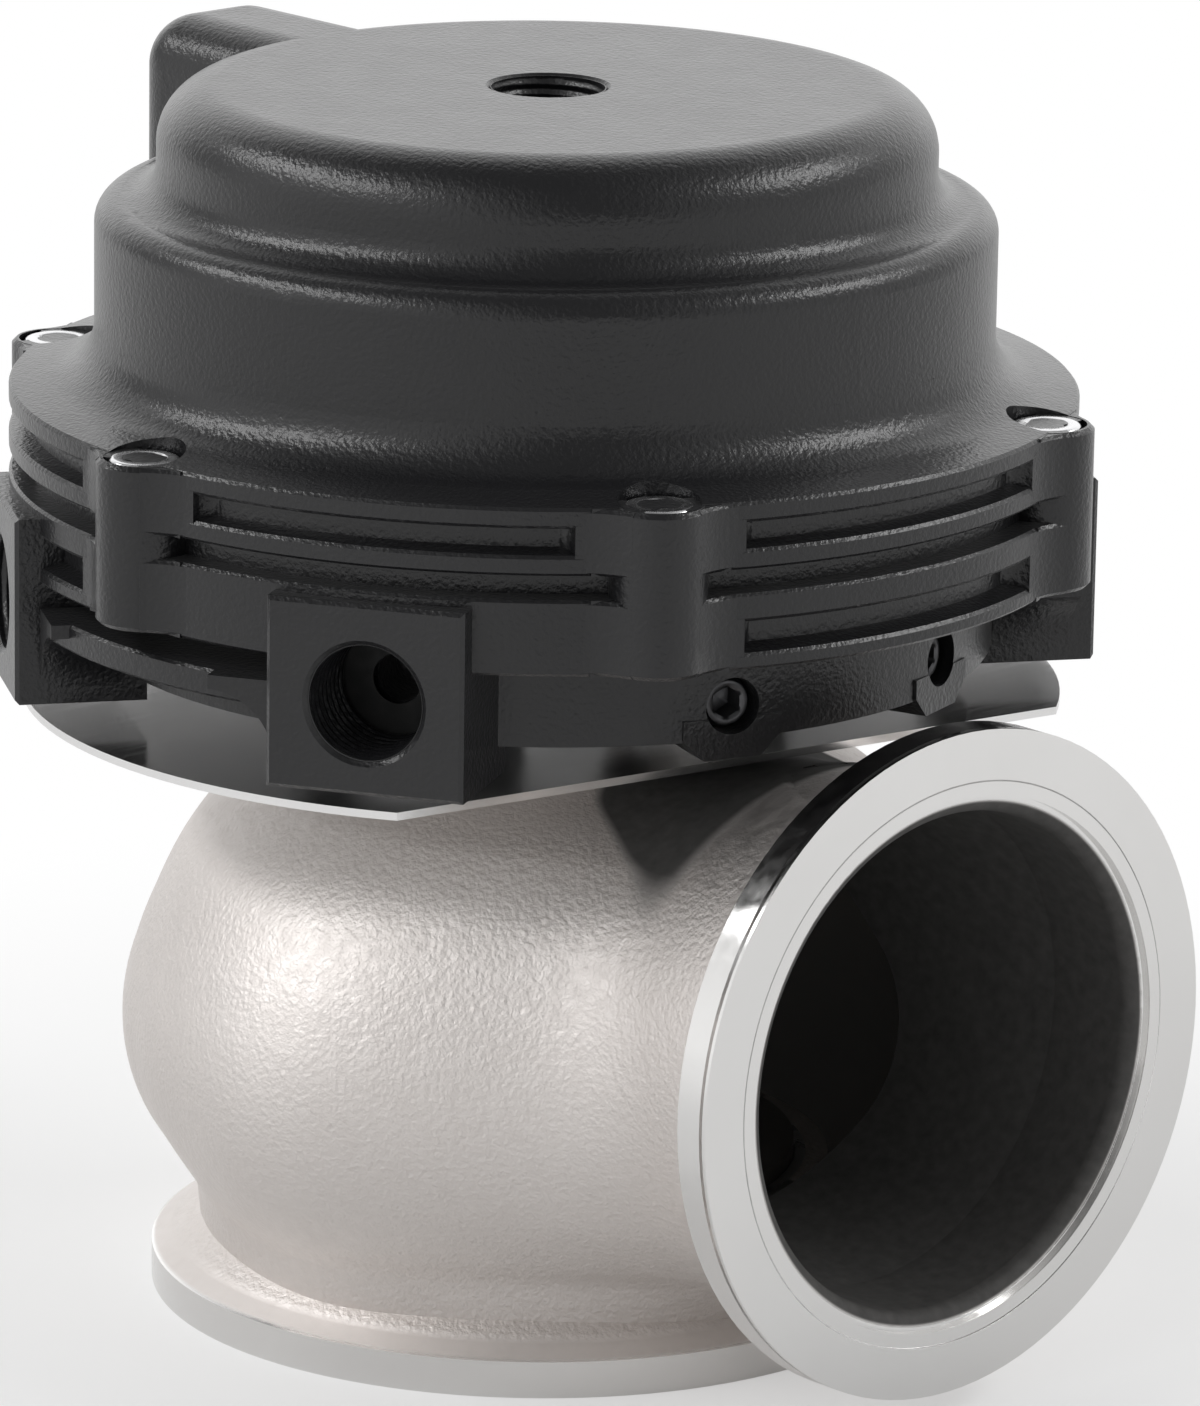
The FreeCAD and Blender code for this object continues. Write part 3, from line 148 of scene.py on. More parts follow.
# ---------------------------------------------------------------- shaders
class Finish:
    """One material. Its textures read Object coordinates, which are metres in the model's frame."""

    def __init__(self, name, color, metallic, roughness):
        self.material = bpy.data.materials.new(name)
        self.material.use_nodes = True
        self.tree = self.material.node_tree
        self.surface = self.tree.nodes["Principled BSDF"]
        self.place = self.node("ShaderNodeTexCoord").outputs["Object"]
        self.set("Metallic", metallic)
        self.set("Roughness", roughness)
        self.set("Base Color", color)

    def node(self, kind, **settings):
        item = self.tree.nodes.new(kind)
        for key, setting in settings.items():
            setattr(item, key, setting)
        return item

    def feed(self, socket, source):
        """A number or colour goes on the socket, and another node's output is linked to it."""
        if isinstance(source, bpy.types.NodeSocket):
            self.tree.links.new(source, socket)
        elif isinstance(source, (tuple, list)) and len(source) == 3 and len(socket.default_value) == 4:
            socket.default_value = (*source, 1)
        else:
            socket.default_value = source

    def set(self, name, source):
        """Feeds one of the shader's own sockets."""
        self.feed(self.surface.inputs[name], source)

    def math(self, operation, first, second=0.0):
        item = self.node("ShaderNodeMath", operation=operation)
        for socket, source in zip(item.inputs, (first, second)):
            self.feed(socket, source)
        return item.outputs[0]

    def times(self, *factors):
        """Product of two or more sources."""
        product = factors[0]
        for factor in factors[1:]:
            product = self.math("MULTIPLY", product, factor)
        return product

    def less(self, source):
        """One, less a source."""
        return self.math("SUBTRACT", 1.0, source)

    def between(self, source, low, high, first=0.0, second=1.0):
        """Smooth step of a source from one number to another as it passes from low to high."""
        item = self.node("ShaderNodeMapRange", interpolation_type="SMOOTHSTEP")
        for key, number in zip(("Value", "From Min", "From Max", "To Min", "To Max"),
                               (source, low, high, first, second)):
            self.feed(item.inputs[key], number)
        return item.outputs[0]

    def mix(self, factor, first, second):
        """Blend of two colours. A Mix node's colour sockets are its inputs 6 and 7 and its output 2."""
        item = self.node("ShaderNodeMix", data_type="RGBA")
        for socket, source in ((item.inputs["Factor"], factor), (item.inputs[6], first),
                               (item.inputs[7], second)):
            self.feed(socket, source)
        return item.outputs[2]

    def joined(self, x, y, z=0.0):
        """Vector from three sources."""
        item = self.node("ShaderNodeCombineXYZ")
        for socket, source in zip(item.inputs, (x, y, z)):
            self.feed(socket, source)
        return item.outputs[0]

    def noise(self, scale, detail=2.0, roughness=0.5, over=None):
        """Noise over Object coordinates, or over another vector."""
        item = self.node("ShaderNodeTexNoise")
        self.feed(item.inputs["Vector"], over or self.place)
        item.inputs["Scale"].default_value = scale
        item.inputs["Detail"].default_value = detail
        item.inputs["Roughness"].default_value = roughness
        return item.outputs["Fac"]

    def axes(self):
        """X, Y and Z, in metres."""
        item = self.node("ShaderNodeSeparateXYZ")
        self.feed(item.inputs[0], self.place)
        return item.outputs

    def far(self, first, second):
        """Distance from an axis, from two coordinates across it."""
        return self.math("SQRT", self.math("ADD", self.times(first, first), self.times(second, second)))

    def bump(self, height, strength, distance, over=None):
        """Bump of a height, in metres, over the plain surface or over another bump."""
        item = self.node("ShaderNodeBump")
        self.feed(item.inputs["Height"], height)
        self.feed(item.inputs["Strength"], strength)
        item.inputs["Distance"].default_value = distance
        if over is not None:
            self.feed(item.inputs["Normal"], over)
        self.feed(self.surface.inputs["Normal"], item.outputs[0])
        return item.outputs[0]


def black_anodised():
    """Bead blasted aluminium, anodised black: a fine even grain under a dull sheen."""
    look = Finish("black_anodised", (0.007, 0.007, 0.008), 0.0, 0.285)
    look.set("IOR", 1.50)
    look.set("Sheen Weight", 0.06)
    look.set("Sheen Roughness", 0.35)
    look.set("Base Color", look.mix(look.noise(90, 3), (0.005, 0.005, 0.006), (0.009, 0.009, 0.010)))
    look.set("Roughness", look.between(look.noise(260, 4), 0.3, 0.7, 0.275, 0.295))
    look.bump(look.noise(2300), 0.80, 0.10 * MM)
    return look.material


def cast_stainless():
    """Investment cast stainless: peened satin outside and polished flanges, with the passages and the chamber
    inside painted dark and matte as shade.

    The masks are products of steps. The outlet passage is all that lies near the outlet's
    axis. The chamber is what faces the valve's axis between the seat and the roof, and all that
    lies near that axis.
    """
    look = Finish("cast_stainless", (0.68, 0.65, 0.625), 1.0, 0.55)
    x, y, z = look.axes()
    from_valve = look.far(x, y)
    from_outlet = look.far(y, look.math("SUBTRACT", z, OUTLET_HEIGHT * MM))
    passage = look.times(look.between(from_outlet, (PASSAGE_RADIUS + 0.4) * MM, PASSAGE_RADIUS * MM),
                         look.between(x, 9.5 * MM, 10.5 * MM),
                         look.between(x, OUTLET_FACE * MM, (OUTLET_FACE - 0.4) * MM))
    outward = look.node("ShaderNodeVectorMath", operation="DOT_PRODUCT")
    look.feed(outward.inputs[0], look.node("ShaderNodeNewGeometry").outputs["Normal"])
    look.feed(outward.inputs[1], look.joined(x, y))
    level = look.times(look.math("GREATER_THAN", z, 11.9 * MM), look.math("LESS_THAN", z, 48.5 * MM))
    wall = look.times(look.math("LESS_THAN", outward.outputs["Value"], -0.4 * MM),
                      look.math("LESS_THAN", from_valve, 38.6 * MM), level)
    chamber = look.math("MAXIMUM", wall, look.times(look.math("LESS_THAN", from_valve, 21.2 * MM), level))
    inside = look.math("MAXIMUM", passage, chamber)
    outside = look.less(inside)
    inlet_rim = look.times(look.between(z, 3.6 * MM, 3.3 * MM),
                           look.between(from_valve, 25.0 * MM, 25.6 * MM))
    outlet_rim = look.times(look.between(x, 49.8 * MM, 50.2 * MM), outside)
    machined = look.math("MAXIMUM", inlet_rim, outlet_rim)

    clouds = look.noise(55, 4)
    bare = look.mix(clouds, (0.64, 0.603, 0.580), (0.72, 0.686, 0.664))
    polished = look.mix(clouds, (0.72, 0.71, 0.70), (0.78, 0.775, 0.765))
    # painted shade inside: near-black in the outlet passage and dark grey on the chamber's walls
    painted_inside_shade = look.mix(look.noise(900, 4), (0.030, 0.029, 0.028), (0.085, 0.082, 0.078))
    painted_inside_shade = look.mix(look.times(chamber, look.less(passage)), painted_inside_shade, (0.30, 0.29, 0.28))
    look.set("Base Color", look.mix(inside, look.mix(machined, bare, polished), painted_inside_shade))
    satin = look.between(look.noise(700, 3), 0.25, 0.75, 0.50, 0.60)
    satin = look.math("ADD", look.times(machined, -0.39), satin)
    look.set("Roughness", look.math("MAXIMUM", satin, look.times(inside, 0.75)))
    look.set("Metallic", look.less(look.times(inside, 0.85)))
    rough = look.times(outside, look.less(machined), look.between(z, 4.4 * MM, 5.0 * MM))
    peened = look.math("ADD", look.times(look.noise(2300, 3, 0.62), 0.5), look.noise(1700))
    over = look.bump(look.times(peened, rough), 0.60, 0.22 * MM)
    # the bore's lip stands in a shallow turned step on the outlet's face
    step = look.times(look.between(from_outlet, 24.90 * MM, 25.05 * MM),
                      look.between(x, 52.8 * MM, 53.2 * MM))
    look.bump(step, 1.0, 0.35 * MM, over)
    return look.material


def turned_metal(name, color, roughness, lines=0.1):
    """Machined metal with fine tool marks that run round the valve's axis."""
    look = Finish(name, color, 1.0, roughness)
    x, y, z = look.axes()
    marks = look.noise(3800, 3, over=look.joined(look.far(x, y), z))
    look.set("Base Color", look.mix(look.noise(120, 4), tuple(channel * 0.86 for channel in color), color))
    look.set("Roughness", look.between(look.noise(400, 3), 0.25, 0.75, roughness * 0.85, roughness * 1.2))
    look.bump(marks, lines, 0.04 * MM)
    return look.material


def polished_sheet(name, color, roughness, wave):
    """Polished sheet steel, faintly wavy, with hairline polishing marks."""
    look = Finish(name, color, 1.0, roughness)
    stretched = look.node("ShaderNodeMapping")
    stretched.inputs["Scale"].default_value = (1.0, 0.05, 1.0)
    look.feed(stretched.inputs["Vector"], look.place)
    hair = look.noise(1500, 3, 0.6, stretched.outputs[0])
    look.set("Roughness", look.between(hair, 0.3, 0.7, roughness * 0.8, roughness * 1.35))
    look.set("Base Color", look.mix(look.noise(70, 3), tuple(channel * 0.93 for channel in color), color))
    over = look.bump(look.noise(75), wave, 0.4 * MM)
    look.bump(hair, 0.03, 0.03 * MM, over)
    return look.material


def spring_wire():
    """Oiled spring wire, with drawn streaks and a dull blue grey sheen."""
    look = Finish("spring_steel", (0.33, 0.34, 0.36), 1.0, 0.34)
    look.set("Base Color", look.mix(look.noise(320, 3), (0.26, 0.265, 0.28), (0.38, 0.39, 0.41)))
    look.set("Roughness", look.between(look.noise(900, 3), 0.3, 0.7, 0.28, 0.42))
    look.bump(look.noise(2600), 0.12, 0.05 * MM)
    return look.material


def rubber(name, color, weave=None):
    """Moulded rubber; where weave is a pitch, over a woven fabric that shows through."""
    look = Finish(name, color, 0.0, 0.62)
    look.set("Base Color", look.mix(look.noise(200, 3), tuple(channel * 0.8 for channel in color), color))
    look.set("Roughness", look.between(look.noise(500, 3), 0.3, 0.7, 0.55, 0.72))
    if weave:
        warp, weft = (look.math("SINE", look.times(along, TURN / weave)) for along in look.axes()[:2])
        look.bump(look.times(warp, weft), 0.25, 0.08 * MM)
    else:
        look.bump(look.noise(1800), 0.1, 0.05 * MM)
    return look.material


def fastener(name, color, roughness, metallic=1.0):
    """Plated or oxidised screw steel with small handling marks."""
    look = Finish(name, color, metallic, roughness)
    look.set("Base Color", look.mix(look.noise(420, 3), tuple(channel * 0.85 for channel in color), color))
    look.set("Roughness", look.between(look.noise(1500, 4), 0.3, 0.7, roughness * 0.8, roughness * 1.3))
    look.bump(look.noise(3500), 0.06, 0.04 * MM)
    return look.material


FINISHES = {
    "cast_stainless": cast_stainless(),
    "machined_steel": turned_metal("machined_steel", (0.60, 0.60, 0.61), 0.3),
    "bronze": turned_metal("bronze", (0.66, 0.47, 0.25), 0.32),
    "polished_sheet": polished_sheet("polished_sheet", (0.78, 0.775, 0.77), 0.16, 0.06),
    "polished_collar": turned_metal("polished_collar", (0.75, 0.75, 0.75), 0.2, 0.06),
    "valve_steel": turned_metal("valve_steel", (0.42, 0.40, 0.38), 0.34, 0.12),
    "diaphragm_rubber": rubber("diaphragm_rubber", (0.30, 0.10, 0.06), weave=0.8 * MM),
    "bare_aluminium": turned_metal("bare_aluminium", (0.72, 0.72, 0.74), 0.34, 0.14),
    "spring_steel": spring_wire(),
    "black_anodised": black_anodised(),
    "seal_rubber": rubber("seal_rubber", (0.05, 0.05, 0.05)),
    "screw_steel": fastener("screw_steel", (0.72, 0.72, 0.73), 0.24),
    "black_oxide_steel": fastener("black_oxide_steel", (0.10, 0.10, 0.105), 0.38, 0.8),
    # near-black matte for the discs that paint the shade at the bottom of the ports
    "port_shade_disc": rubber("port_shade_disc", (0.003, 0.003, 0.003)),
}
for subpart in frame["record"]["subparts"]:
    node = frame["nodes"][subpart["node"]]
    if not node.material_slots:
        node.data.materials.append(None)
    for place in node.material_slots:
        place.link = "OBJECT"
        place.material = FINISHES[subpart["material_slot"]]


# ---------------------------------------------------------------- the casting's skin
# Millimetres. The bulb's corners are (height, radius). The pipe's stations are (place along X, half
# its width, half its height, height of its middle).
BULB = [(0.0, 30.0), (10.0, 30.0), (25.5, 40.5), (51.2, 22.6), (60.0, 22.6)]
BULB_ROUND = 17.0
SKIN_THICKNESS, SKIN_GAP = 0.6, 0.03
SKIN_LOW, SKIN_HIGH = 4.3, 54.9          # just over the inlet flange, and just under the boss's top
SKIN_END, SKIN_END_RADIUS = 49.7, 24.85  # where the pipe meets the outlet flange
PIPE = [(-16.0, 24.0, 18.5, 26.0), (-4.0, 32.6, 22.9, 26.0), (8.0, 36.0, 24.3, 26.2),
        (19.0, 30.2, 24.0, 28.8), (30.0, 24.2, 23.1, 31.0), (40.0, 23.8, 23.8, 32.15),
        (50.2, 24.8, 24.8, 32.4)]


def smooth_through(stations, at):
    """Natural cubic spline through stations of (place, numbers...), read at places."""
    stations = np.array(stations, float)
    place, numbers = stations[:, 0], stations[:, 1:]
    count = len(place)
    gap = np.diff(place)
    system = np.eye(count)
    slopes = np.zeros_like(numbers)
    for row in range(1, count - 1):
        system[row, row - 1:row + 2] = gap[row - 1], 2 * (gap[row - 1] + gap[row]), gap[row]
        slopes[row] = 6 * ((numbers[row + 1] - numbers[row]) / gap[row]
                           - (numbers[row] - numbers[row - 1]) / gap[row - 1])
    bend = np.linalg.solve(system, slopes)
    at = np.clip(at, place[0], place[-1])
    run = np.clip(np.searchsorted(place, at) - 1, 0, count - 2)
    h, left, right = gap[run], at - place[run], place[run + 1] - at
    h, left, right = h[..., None], left[..., None], right[..., None]
    return ((bend[run] * right ** 3 + bend[run + 1] * left ** 3) / (6 * h)
            + (numbers[run] / h - bend[run] * h / 6) * right
            + (numbers[run + 1] / h - bend[run + 1] * h / 6) * left)


def bulb_outline():
    """Heights and radii of the bulb's outline, in millimetres.

    The widest corner is a true round of 17 mm. The hollow corners above and below it are filled
    by the mean of the outline within 1.5 mm, wherever that lies further out, and a sine wave squared
    swells the shoulder by up to 1.7 mm.
    """
    before, corner, after = (np.array(BULB[index]) for index in (1, 2, 3))
    back, on = before - corner, after - corner
    back, on = back / np.linalg.norm(back), on / np.linalg.norm(on)
    half = math.acos(float(back @ on)) / 2
    center = corner + (back + on) / np.linalg.norm(back + on) * BULB_ROUND / math.sin(half)
    run = BULB_ROUND / math.tan(half)
    first, last = (math.atan2(*(corner + way * run - center)[::-1]) for way in (back, on))
    angle = np.linspace(first, last, 40)
    arc = center + BULB_ROUND * np.stack([np.cos(angle), np.sin(angle)], axis=-1)
    line = np.vstack([BULB[:2], arc, BULB[3:]])
    height = np.linspace(0, 60, 481)  # 0.125 mm apart
    radius = np.interp(height, line[:, 0], line[:, 1])
    beside = 12
    weights = np.hanning(2 * beside + 3)[1:-1]
    mean = np.convolve(np.pad(radius, beside, mode="edge"), weights / weights.sum(), mode="valid")
    swell, low, high = 1.7, 31, 53
    share = np.clip((height - low) / (high - low), 0, 1)
    return height, np.maximum(radius, mean) + swell * np.sin(math.pi * share) ** 2


OUTLINE = bulb_outline()
SLOPE = np.gradient(OUTLINE[1], OUTLINE[0])


def casting_depth(points):
    """How far points, in millimetres, lie outside the casting, roughly; negative inside.

    The bulb is turned about Z from its outline, the pipe has an elliptic section at each place
    along X, and the two distances join by a smooth minimum 11 mm wide, which fills the crease.
    """
    x, y, z = points[..., 0], points[..., 1], points[..., 2]
    radius = np.interp(z, *OUTLINE)
    lean = np.sqrt(1 + np.interp(z, OUTLINE[0], SLOPE) ** 2)
    bulb = (np.hypot(x, y) - radius) / lean
    width, height, level = np.moveaxis(smooth_through(PIPE, x), -1, 0)
    across = np.hypot(y / width, (z - level) / height)
    pipe = (across - 1) * np.minimum(width, height)
    pipe = np.where(x < PIPE[0][0], np.hypot(np.maximum(pipe, 0), PIPE[0][0] - x), pipe)
    reach = 11.0 * np.clip((56 - z) / 8, 0.12, 1)
    share = np.maximum(reach - np.abs(bulb - pipe), 0) / reach
    return np.minimum(bulb, pipe) - share ** 2 * reach / 4


def casting_skin(rows=150, columns=216):
    """The casting's outside as one smooth skin, 0.6 mm thick and 0.03 mm over the solid.

    Rays leave a point inside the bulb. Rows run from the back round to the pipe's end, and each
    column's last ray meets the pipe's end. Each ray stops where the casting's depth is nought,
    found by halving. Below the neck and above the boss the skin is left off.
    """
    middle = np.array([6.0, 0, 31.0])
    around = np.linspace(0, TURN, columns, endpoint=False)
    rim = np.stack([np.full(columns, SKIN_END), SKIN_END_RADIUS * np.cos(around),
                    OUTLET_HEIGHT + SKIN_END_RADIUS * np.sin(around)], axis=-1)
    rim = (rim - middle) / np.linalg.norm(rim - middle, axis=1)[:, None]
    last = np.arccos(-rim[:, 0])
    side = rim[:, 1:] / np.linalg.norm(rim[:, 1:], axis=1)[:, None]
    share = np.linspace(0, 1, rows)[:, None]
    tilt = share * last
    rays = np.stack([-np.cos(tilt), np.sin(tilt) * side[:, 0], np.sin(tilt) * side[:, 1]], axis=-1)
    near, away = np.full(tilt.shape, 5.0), np.full(tilt.shape, 75.0)  # inside and outside, for all rays
    for _ in range(26):
        halfway = (near + away) / 2
        outside = casting_depth(middle + rays * halfway[..., None]) > SKIN_GAP
        away = np.where(outside, halfway, away)
        near = np.where(outside, near, halfway)
    reach = near
    height = middle[2] + rays[..., 2] * reach
    drop = (SKIN_LOW - middle[2]) / np.minimum(rays[..., 2], -1e-6)
    rise = (SKIN_HIGH - middle[2]) / np.maximum(rays[..., 2], 1e-6)
    gone = (height < SKIN_LOW) | (height > SKIN_HIGH)
    reach = np.minimum(reach, np.minimum(np.where(rays[..., 2] < 0, drop, 1e3),
                                         np.where(rays[..., 2] > 0, rise, 1e3)))
    outer = middle + rays * reach[..., None]
    inner = middle + rays * (reach - SKIN_THICKNESS)[..., None]
    index = 1 + np.arange((rows - 1) * columns).reshape(rows - 1, columns)
    beside = np.roll(index, -1, axis=1)
    quads = np.stack([index[:-1], beside[:-1], beside[1:], index[1:]], axis=-1)
    off = gone[1:]
    beside_off = np.roll(off, -1, axis=1)
    lost = off[:-1] & beside_off[:-1] & beside_off[1:] & off[1:]
    faces = quads[~lost].tolist()
    faces += [[0, int(b), int(a)] for a, b in zip(index[0], beside[0])]
    points = np.vstack([outer[0, :1], outer[1:].reshape(-1, 3), inner[0, :1], inner[1:].reshape(-1, 3)])
    count = len(points) // 2
    edges = {}  # those that one face alone uses, where a wall joins the outside to the inside
    for face in faces:
        for a, b in zip(face, face[1:] + face[:1]):
            if (b, a) in edges:
                del edges[(b, a)]
            else:
                edges[(a, b)] = True
    shell = faces + [[corner + count for corner in reversed(face)] for face in faces]
    shell += [[b, a, a + count, b + count] for a, b in edges]
    used = np.unique(np.concatenate([np.array(face) for face in shell]))
    fresh = np.full(len(points), -1)
    fresh[used] = np.arange(len(used))
    return points[used] * MM, [[int(fresh[corner]) for corner in face] for face in shell]


skin_piece = add_piece("casting_skin", [casting_skin()], FINISHES["cast_stainless"],
                       sharp=50)
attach(skin_piece, "housing")


# ---------------------------------------------------------------- threads in the ports
PORT_ROOT, PORT_CREST, PORT_PITCH, PORT_DEPTH = 5.04 * MM, 4.62 * MM, 0.94 * MM, 8.9 * MM


def port_mouth(mount):
    """Middle of a port's mouth, and its axis, which points out of the port."""
    axis = np.array(mount["axis"], float)
    axis /= np.linalg.norm(axis)
    return np.array(mount["pos_m"]) + axis * (mount["dims"]["length_mm"] / 2 + 0.2) * MM, axis


def port_thread(mount, columns=64):
    """Tapered pipe thread inside a port, as a closed sleeve against the port's wall.

    The inner wall follows a thread wave between a root of 5.04 mm and a crest that closes in by
    one part in 32, and both fade into the countersink at the mouth.
    """
    height = np.linspace(-PORT_DEPTH, -0.35 * MM, 110)
    crest = PORT_CREST + (height + PORT_DEPTH) / 32
    fade = np.clip(-height / (1.1 * MM), 0, 1) * np.clip((height + PORT_DEPTH) / (0.8 * MM), 0, 1)
    inner = PORT_ROOT - ((PORT_ROOT - crest) * fade)[:, None] * thread_wave(height, PORT_PITCH, columns)
    outer = np.full((2, columns), PORT_ROOT + 0.045 * MM)
    radius = np.vstack([inner, outer])
    rows = np.concatenate([height, [height[-1], height[0]]])
    points, faces = skin(turned(radius, rows, columns), loop=True)
    return placed(points, *port_mouth(mount)), faces


def port_shade_disc(mount, columns=48):
    """Thin near-black disc on a port's floor, round the mouth of its passage, that paints the shade at the
    bottom of the port.
    """
    hole, rim, under, over = 2.2 * MM, 5.03 * MM, -8.97 * MM, -8.85 * MM
    rings = turned([hole, rim, rim, hole], [under, under, over, over], columns)
    points, faces = skin(rings, loop=True)
    return placed(points, *port_mouth(mount)), faces


ports = [mount for mount in frame["record"]["mounts"] if mount["kind"] == "threaded_hole"]
threads = add_piece("port_threads", [port_thread(mount) for mount in ports],
                    FINISHES["black_anodised"], sharp=50)
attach(threads, "actuator")
# near-black discs that paint the shade at the bottom of the ports
floors = add_piece("port_shade_discs", [port_shade_disc(mount) for mount in ports],
                   FINISHES["port_shade_disc"], sharp=50)
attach(floors, "actuator")


# ---------------------------------------------------------------- screws
def hex_radius(key, columns):
    """Radius of a hexagon across its flats, for each column."""
    angle = np.linspace(0, TURN, columns, endpoint=False)
    return key / 2 / np.cos((angle + math.pi / 6) % (math.pi / 3) - math.pi / 6)


def threaded_shank(low, high, root, crest, pitch, columns, fade_low, fade_high):
    """Rows of a shank with a thread that runs out at both ends."""
    height = np.linspace(low, high, int((high - low) / pitch * 8) + 1)
    fade = np.clip((height - low) / fade_low, 0, 1) * np.clip((high - height) / fade_high, 0, 1)
    wave = thread_wave(height, pitch, columns)
    return height, root + (crest - root) * fade[:, None] * wave


def rows_of(pairs, columns):
    """Plain (radius, height) pairs as rows."""
    return (np.array([height for radius, height in pairs]),
            np.array([np.broadcast_to(radius, columns) for radius, height in pairs]))


def rounded_corner(radius, height, size, steps=6):
    """Quarter round from a side wall to a flat top, as (radius, height) pairs."""
    angle = np.linspace(0, math.pi / 2, steps)
    return [(radius - size + size * math.cos(a), height - size + size * math.sin(a)) for a in angle]


def cover_screw(center, top, columns=60):
    """M4 socket head screw: threaded shank, rounded head and a hexagon socket with a cone floor.

    Every ring is a circle, but for the socket's, which follow the hexagon.
    """
    head_height, length, key = 4.0 * MM, 10.0 * MM, 3.0 * MM
    bottom = top - head_height
    tip = bottom - length
    socket = hex_radius(key, columns)
    start = rows_of([(0, tip), (1.3 * MM, tip)], columns)
    shank = threaded_shank(tip + 0.25 * MM, bottom - 0.2 * MM, 1.55 * MM, 1.94 * MM, 0.7 * MM, columns,
                           0.8 * MM, 0.8 * MM)
    head = rows_of(
        [(1.94 * MM, bottom - 0.1 * MM), (1.95 * MM, bottom), (2.9 * MM, bottom),
         (3.1 * MM, bottom + 0.15 * MM)]
        + rounded_corner(3.1 * MM, top, 0.45 * MM)
        + [(1.98 * MM, top), (1.92 * MM, top - 0.03 * MM), (socket, top - 0.22 * MM),
           (socket, top - 2.1 * MM), (socket * 0.96, top - 2.2 * MM), (0, top - 2.75 * MM)], columns)
    height = np.concatenate([start[0], shank[0], head[0]])
    radius = np.vstack([start[1], shank[1], head[1]])
    points, faces = skin(turned(radius, height, columns))
    return points + np.array([center[0], center[1], 0]), faces


screw_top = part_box("cover_screws")[1][2]
spots = [(SCREW_CIRCLE * MM * math.cos(a), SCREW_CIRCLE * MM * math.sin(a)) for a in SCREW_ANGLES]
screws = add_piece("cover_screws_detailed", [cover_screw(spot, screw_top) for spot in spots],
                   FINISHES["screw_steel"], sharp=40)
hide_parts("cover_screws")
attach(screws, "actuator")


# ---------------------------------------------------------------- fillets beside the screw lobes
def fairing(angle, side, low, high, floor, fillet=8.0, break_edge=0.3):
    """Hollow fillet that runs from a screw lobe out to the rim, and closes the rim's groove there.

    In plan it is an arc that touches the lobe's circle and the rim's, then a quarter of an ellipse
    down to the groove's floor. Its ends are bevelled by growing the arc's radius.
    """
    rim, lobe, circle = RIM_RADIUS, LOBE_RADIUS, SCREW_CIRCLE
    root, past_screw, cove_width = 44.2, 1.5, 1.8
    x = ((rim + fillet) ** 2 + circle ** 2 - (lobe + fillet) ** 2) / (2 * circle)
    center = np.array([x, math.sqrt((rim + fillet) ** 2 - x ** 2)])
    to_lobe = math.atan2(-center[1], circle - center[0])
    to_rim = math.atan2(-center[1], -center[0])
    turn = np.linspace(to_lobe, to_rim, 14)
    step = np.linspace(0, math.pi / 2, 7)[1:]
    rings = []
    for height, grown in ((low, break_edge), (low + break_edge, 0),
                          (high - break_edge, 0), (high, break_edge)):
        arc = center + (fillet + grown) * np.stack([np.cos(turn), np.sin(turn)], axis=-1)
        out = arc[-1] / np.linalg.norm(arc[-1])
        on = np.array([-out[1], out[0]])
        cove = (arc[-1] + np.outer(cove_width * (1 - np.cos(step)), on)
                - np.outer((rim - floor) * np.sin(step), out))
        last = math.atan2(cove[-1, 1], cove[-1, 0])
        under = root * np.array([[math.cos(last), math.sin(last)], [math.cos(last / 2), math.sin(last / 2)],
                                 [1.0, 0.0]])
        line = np.vstack([[circle + past_screw, 0.0], arc, cove, under])
        line[:, 1] *= side
        rings.append(np.hstack([line, np.full((len(line), 1), height)]))
    rings = np.array(rings)
    across, along = math.cos(angle), math.sin(angle)
    x, y = rings[..., 0] * across - rings[..., 1] * along, rings[..., 0] * along + rings[..., 1] * across
    rings = np.stack([x, y, rings[..., 2]], axis=-1) * MM
    levels, count = rings.shape[:2]
    index = np.arange(levels * count).reshape(levels, count)
    beside = np.roll(index, -1, axis=1)
    faces = np.stack([index[:-1], beside[:-1], beside[1:], index[1:]], axis=-1).reshape(-1, 4).tolist()
    return rings.reshape(-1, 3), faces + [index[0].tolist(), index[-1].tolist()]


RIMS = [(77.12, 82.86, 45.2), (68.5, 74.95, 44.9)]  # (low, high, groove's floor) of the cover and the base
fairings = [fairing(angle, side, *rim) for angle in SCREW_ANGLES for side in (-1, 1) for rim in RIMS]
webs = add_piece("lobe_fairings", fairings, FINISHES["black_anodised"], sharp=40)
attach(webs, "actuator")


# ---------------------------------------------------------------- set screws
def set_screw(angle, height_up, tip, end, columns=60):
    """M5 set screw with a cone point at the collar and a hexagon socket outside."""
    key = 2.5 * MM
    socket = hex_radius(key, columns)
    start = rows_of([(0, tip), (0.5 * MM, tip), (1.95 * MM, tip + 1.9 * MM)], columns)
    shank = threaded_shank(tip + 2.1 * MM, end - 0.35 * MM, 2.0 * MM, 2.38 * MM, 0.8 * MM, columns,
                           0.6 * MM, 0.5 * MM)
    outer = rows_of([(1.95 * MM, end - 0.05 * MM), (1.85 * MM, end), (1.62 * MM, end),
                     (1.5 * MM, end - 0.06 * MM), (socket, end - 0.2 * MM),
                     (socket, end - 2.4 * MM), (socket * 0.95, end - 2.5 * MM), (0, end - 3.0 * MM)], columns)
    height = np.concatenate([start[0], shank[0], outer[0]])
    radius = np.vstack([start[1], shank[1], outer[1]])
    points, faces = skin(turned(radius, height, columns))
    axis = (math.cos(angle), math.sin(angle), 0)
    return placed(points, (0, 0, height_up), axis), faces


groove = (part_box("set_screws")[0][2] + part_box("set_screws")[1][2]) / 2
cone_tip, socket_end = 21.3 * MM, 38.8 * MM
grips = add_piece("set_screws_detailed",
                  [set_screw(side * SET_SCREW_ANGLE, groove, cone_tip, socket_end) for side in (-1, 1)],
                  FINISHES["black_oxide_steel"], sharp=40)
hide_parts("set_screws")
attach(grips, "actuator")


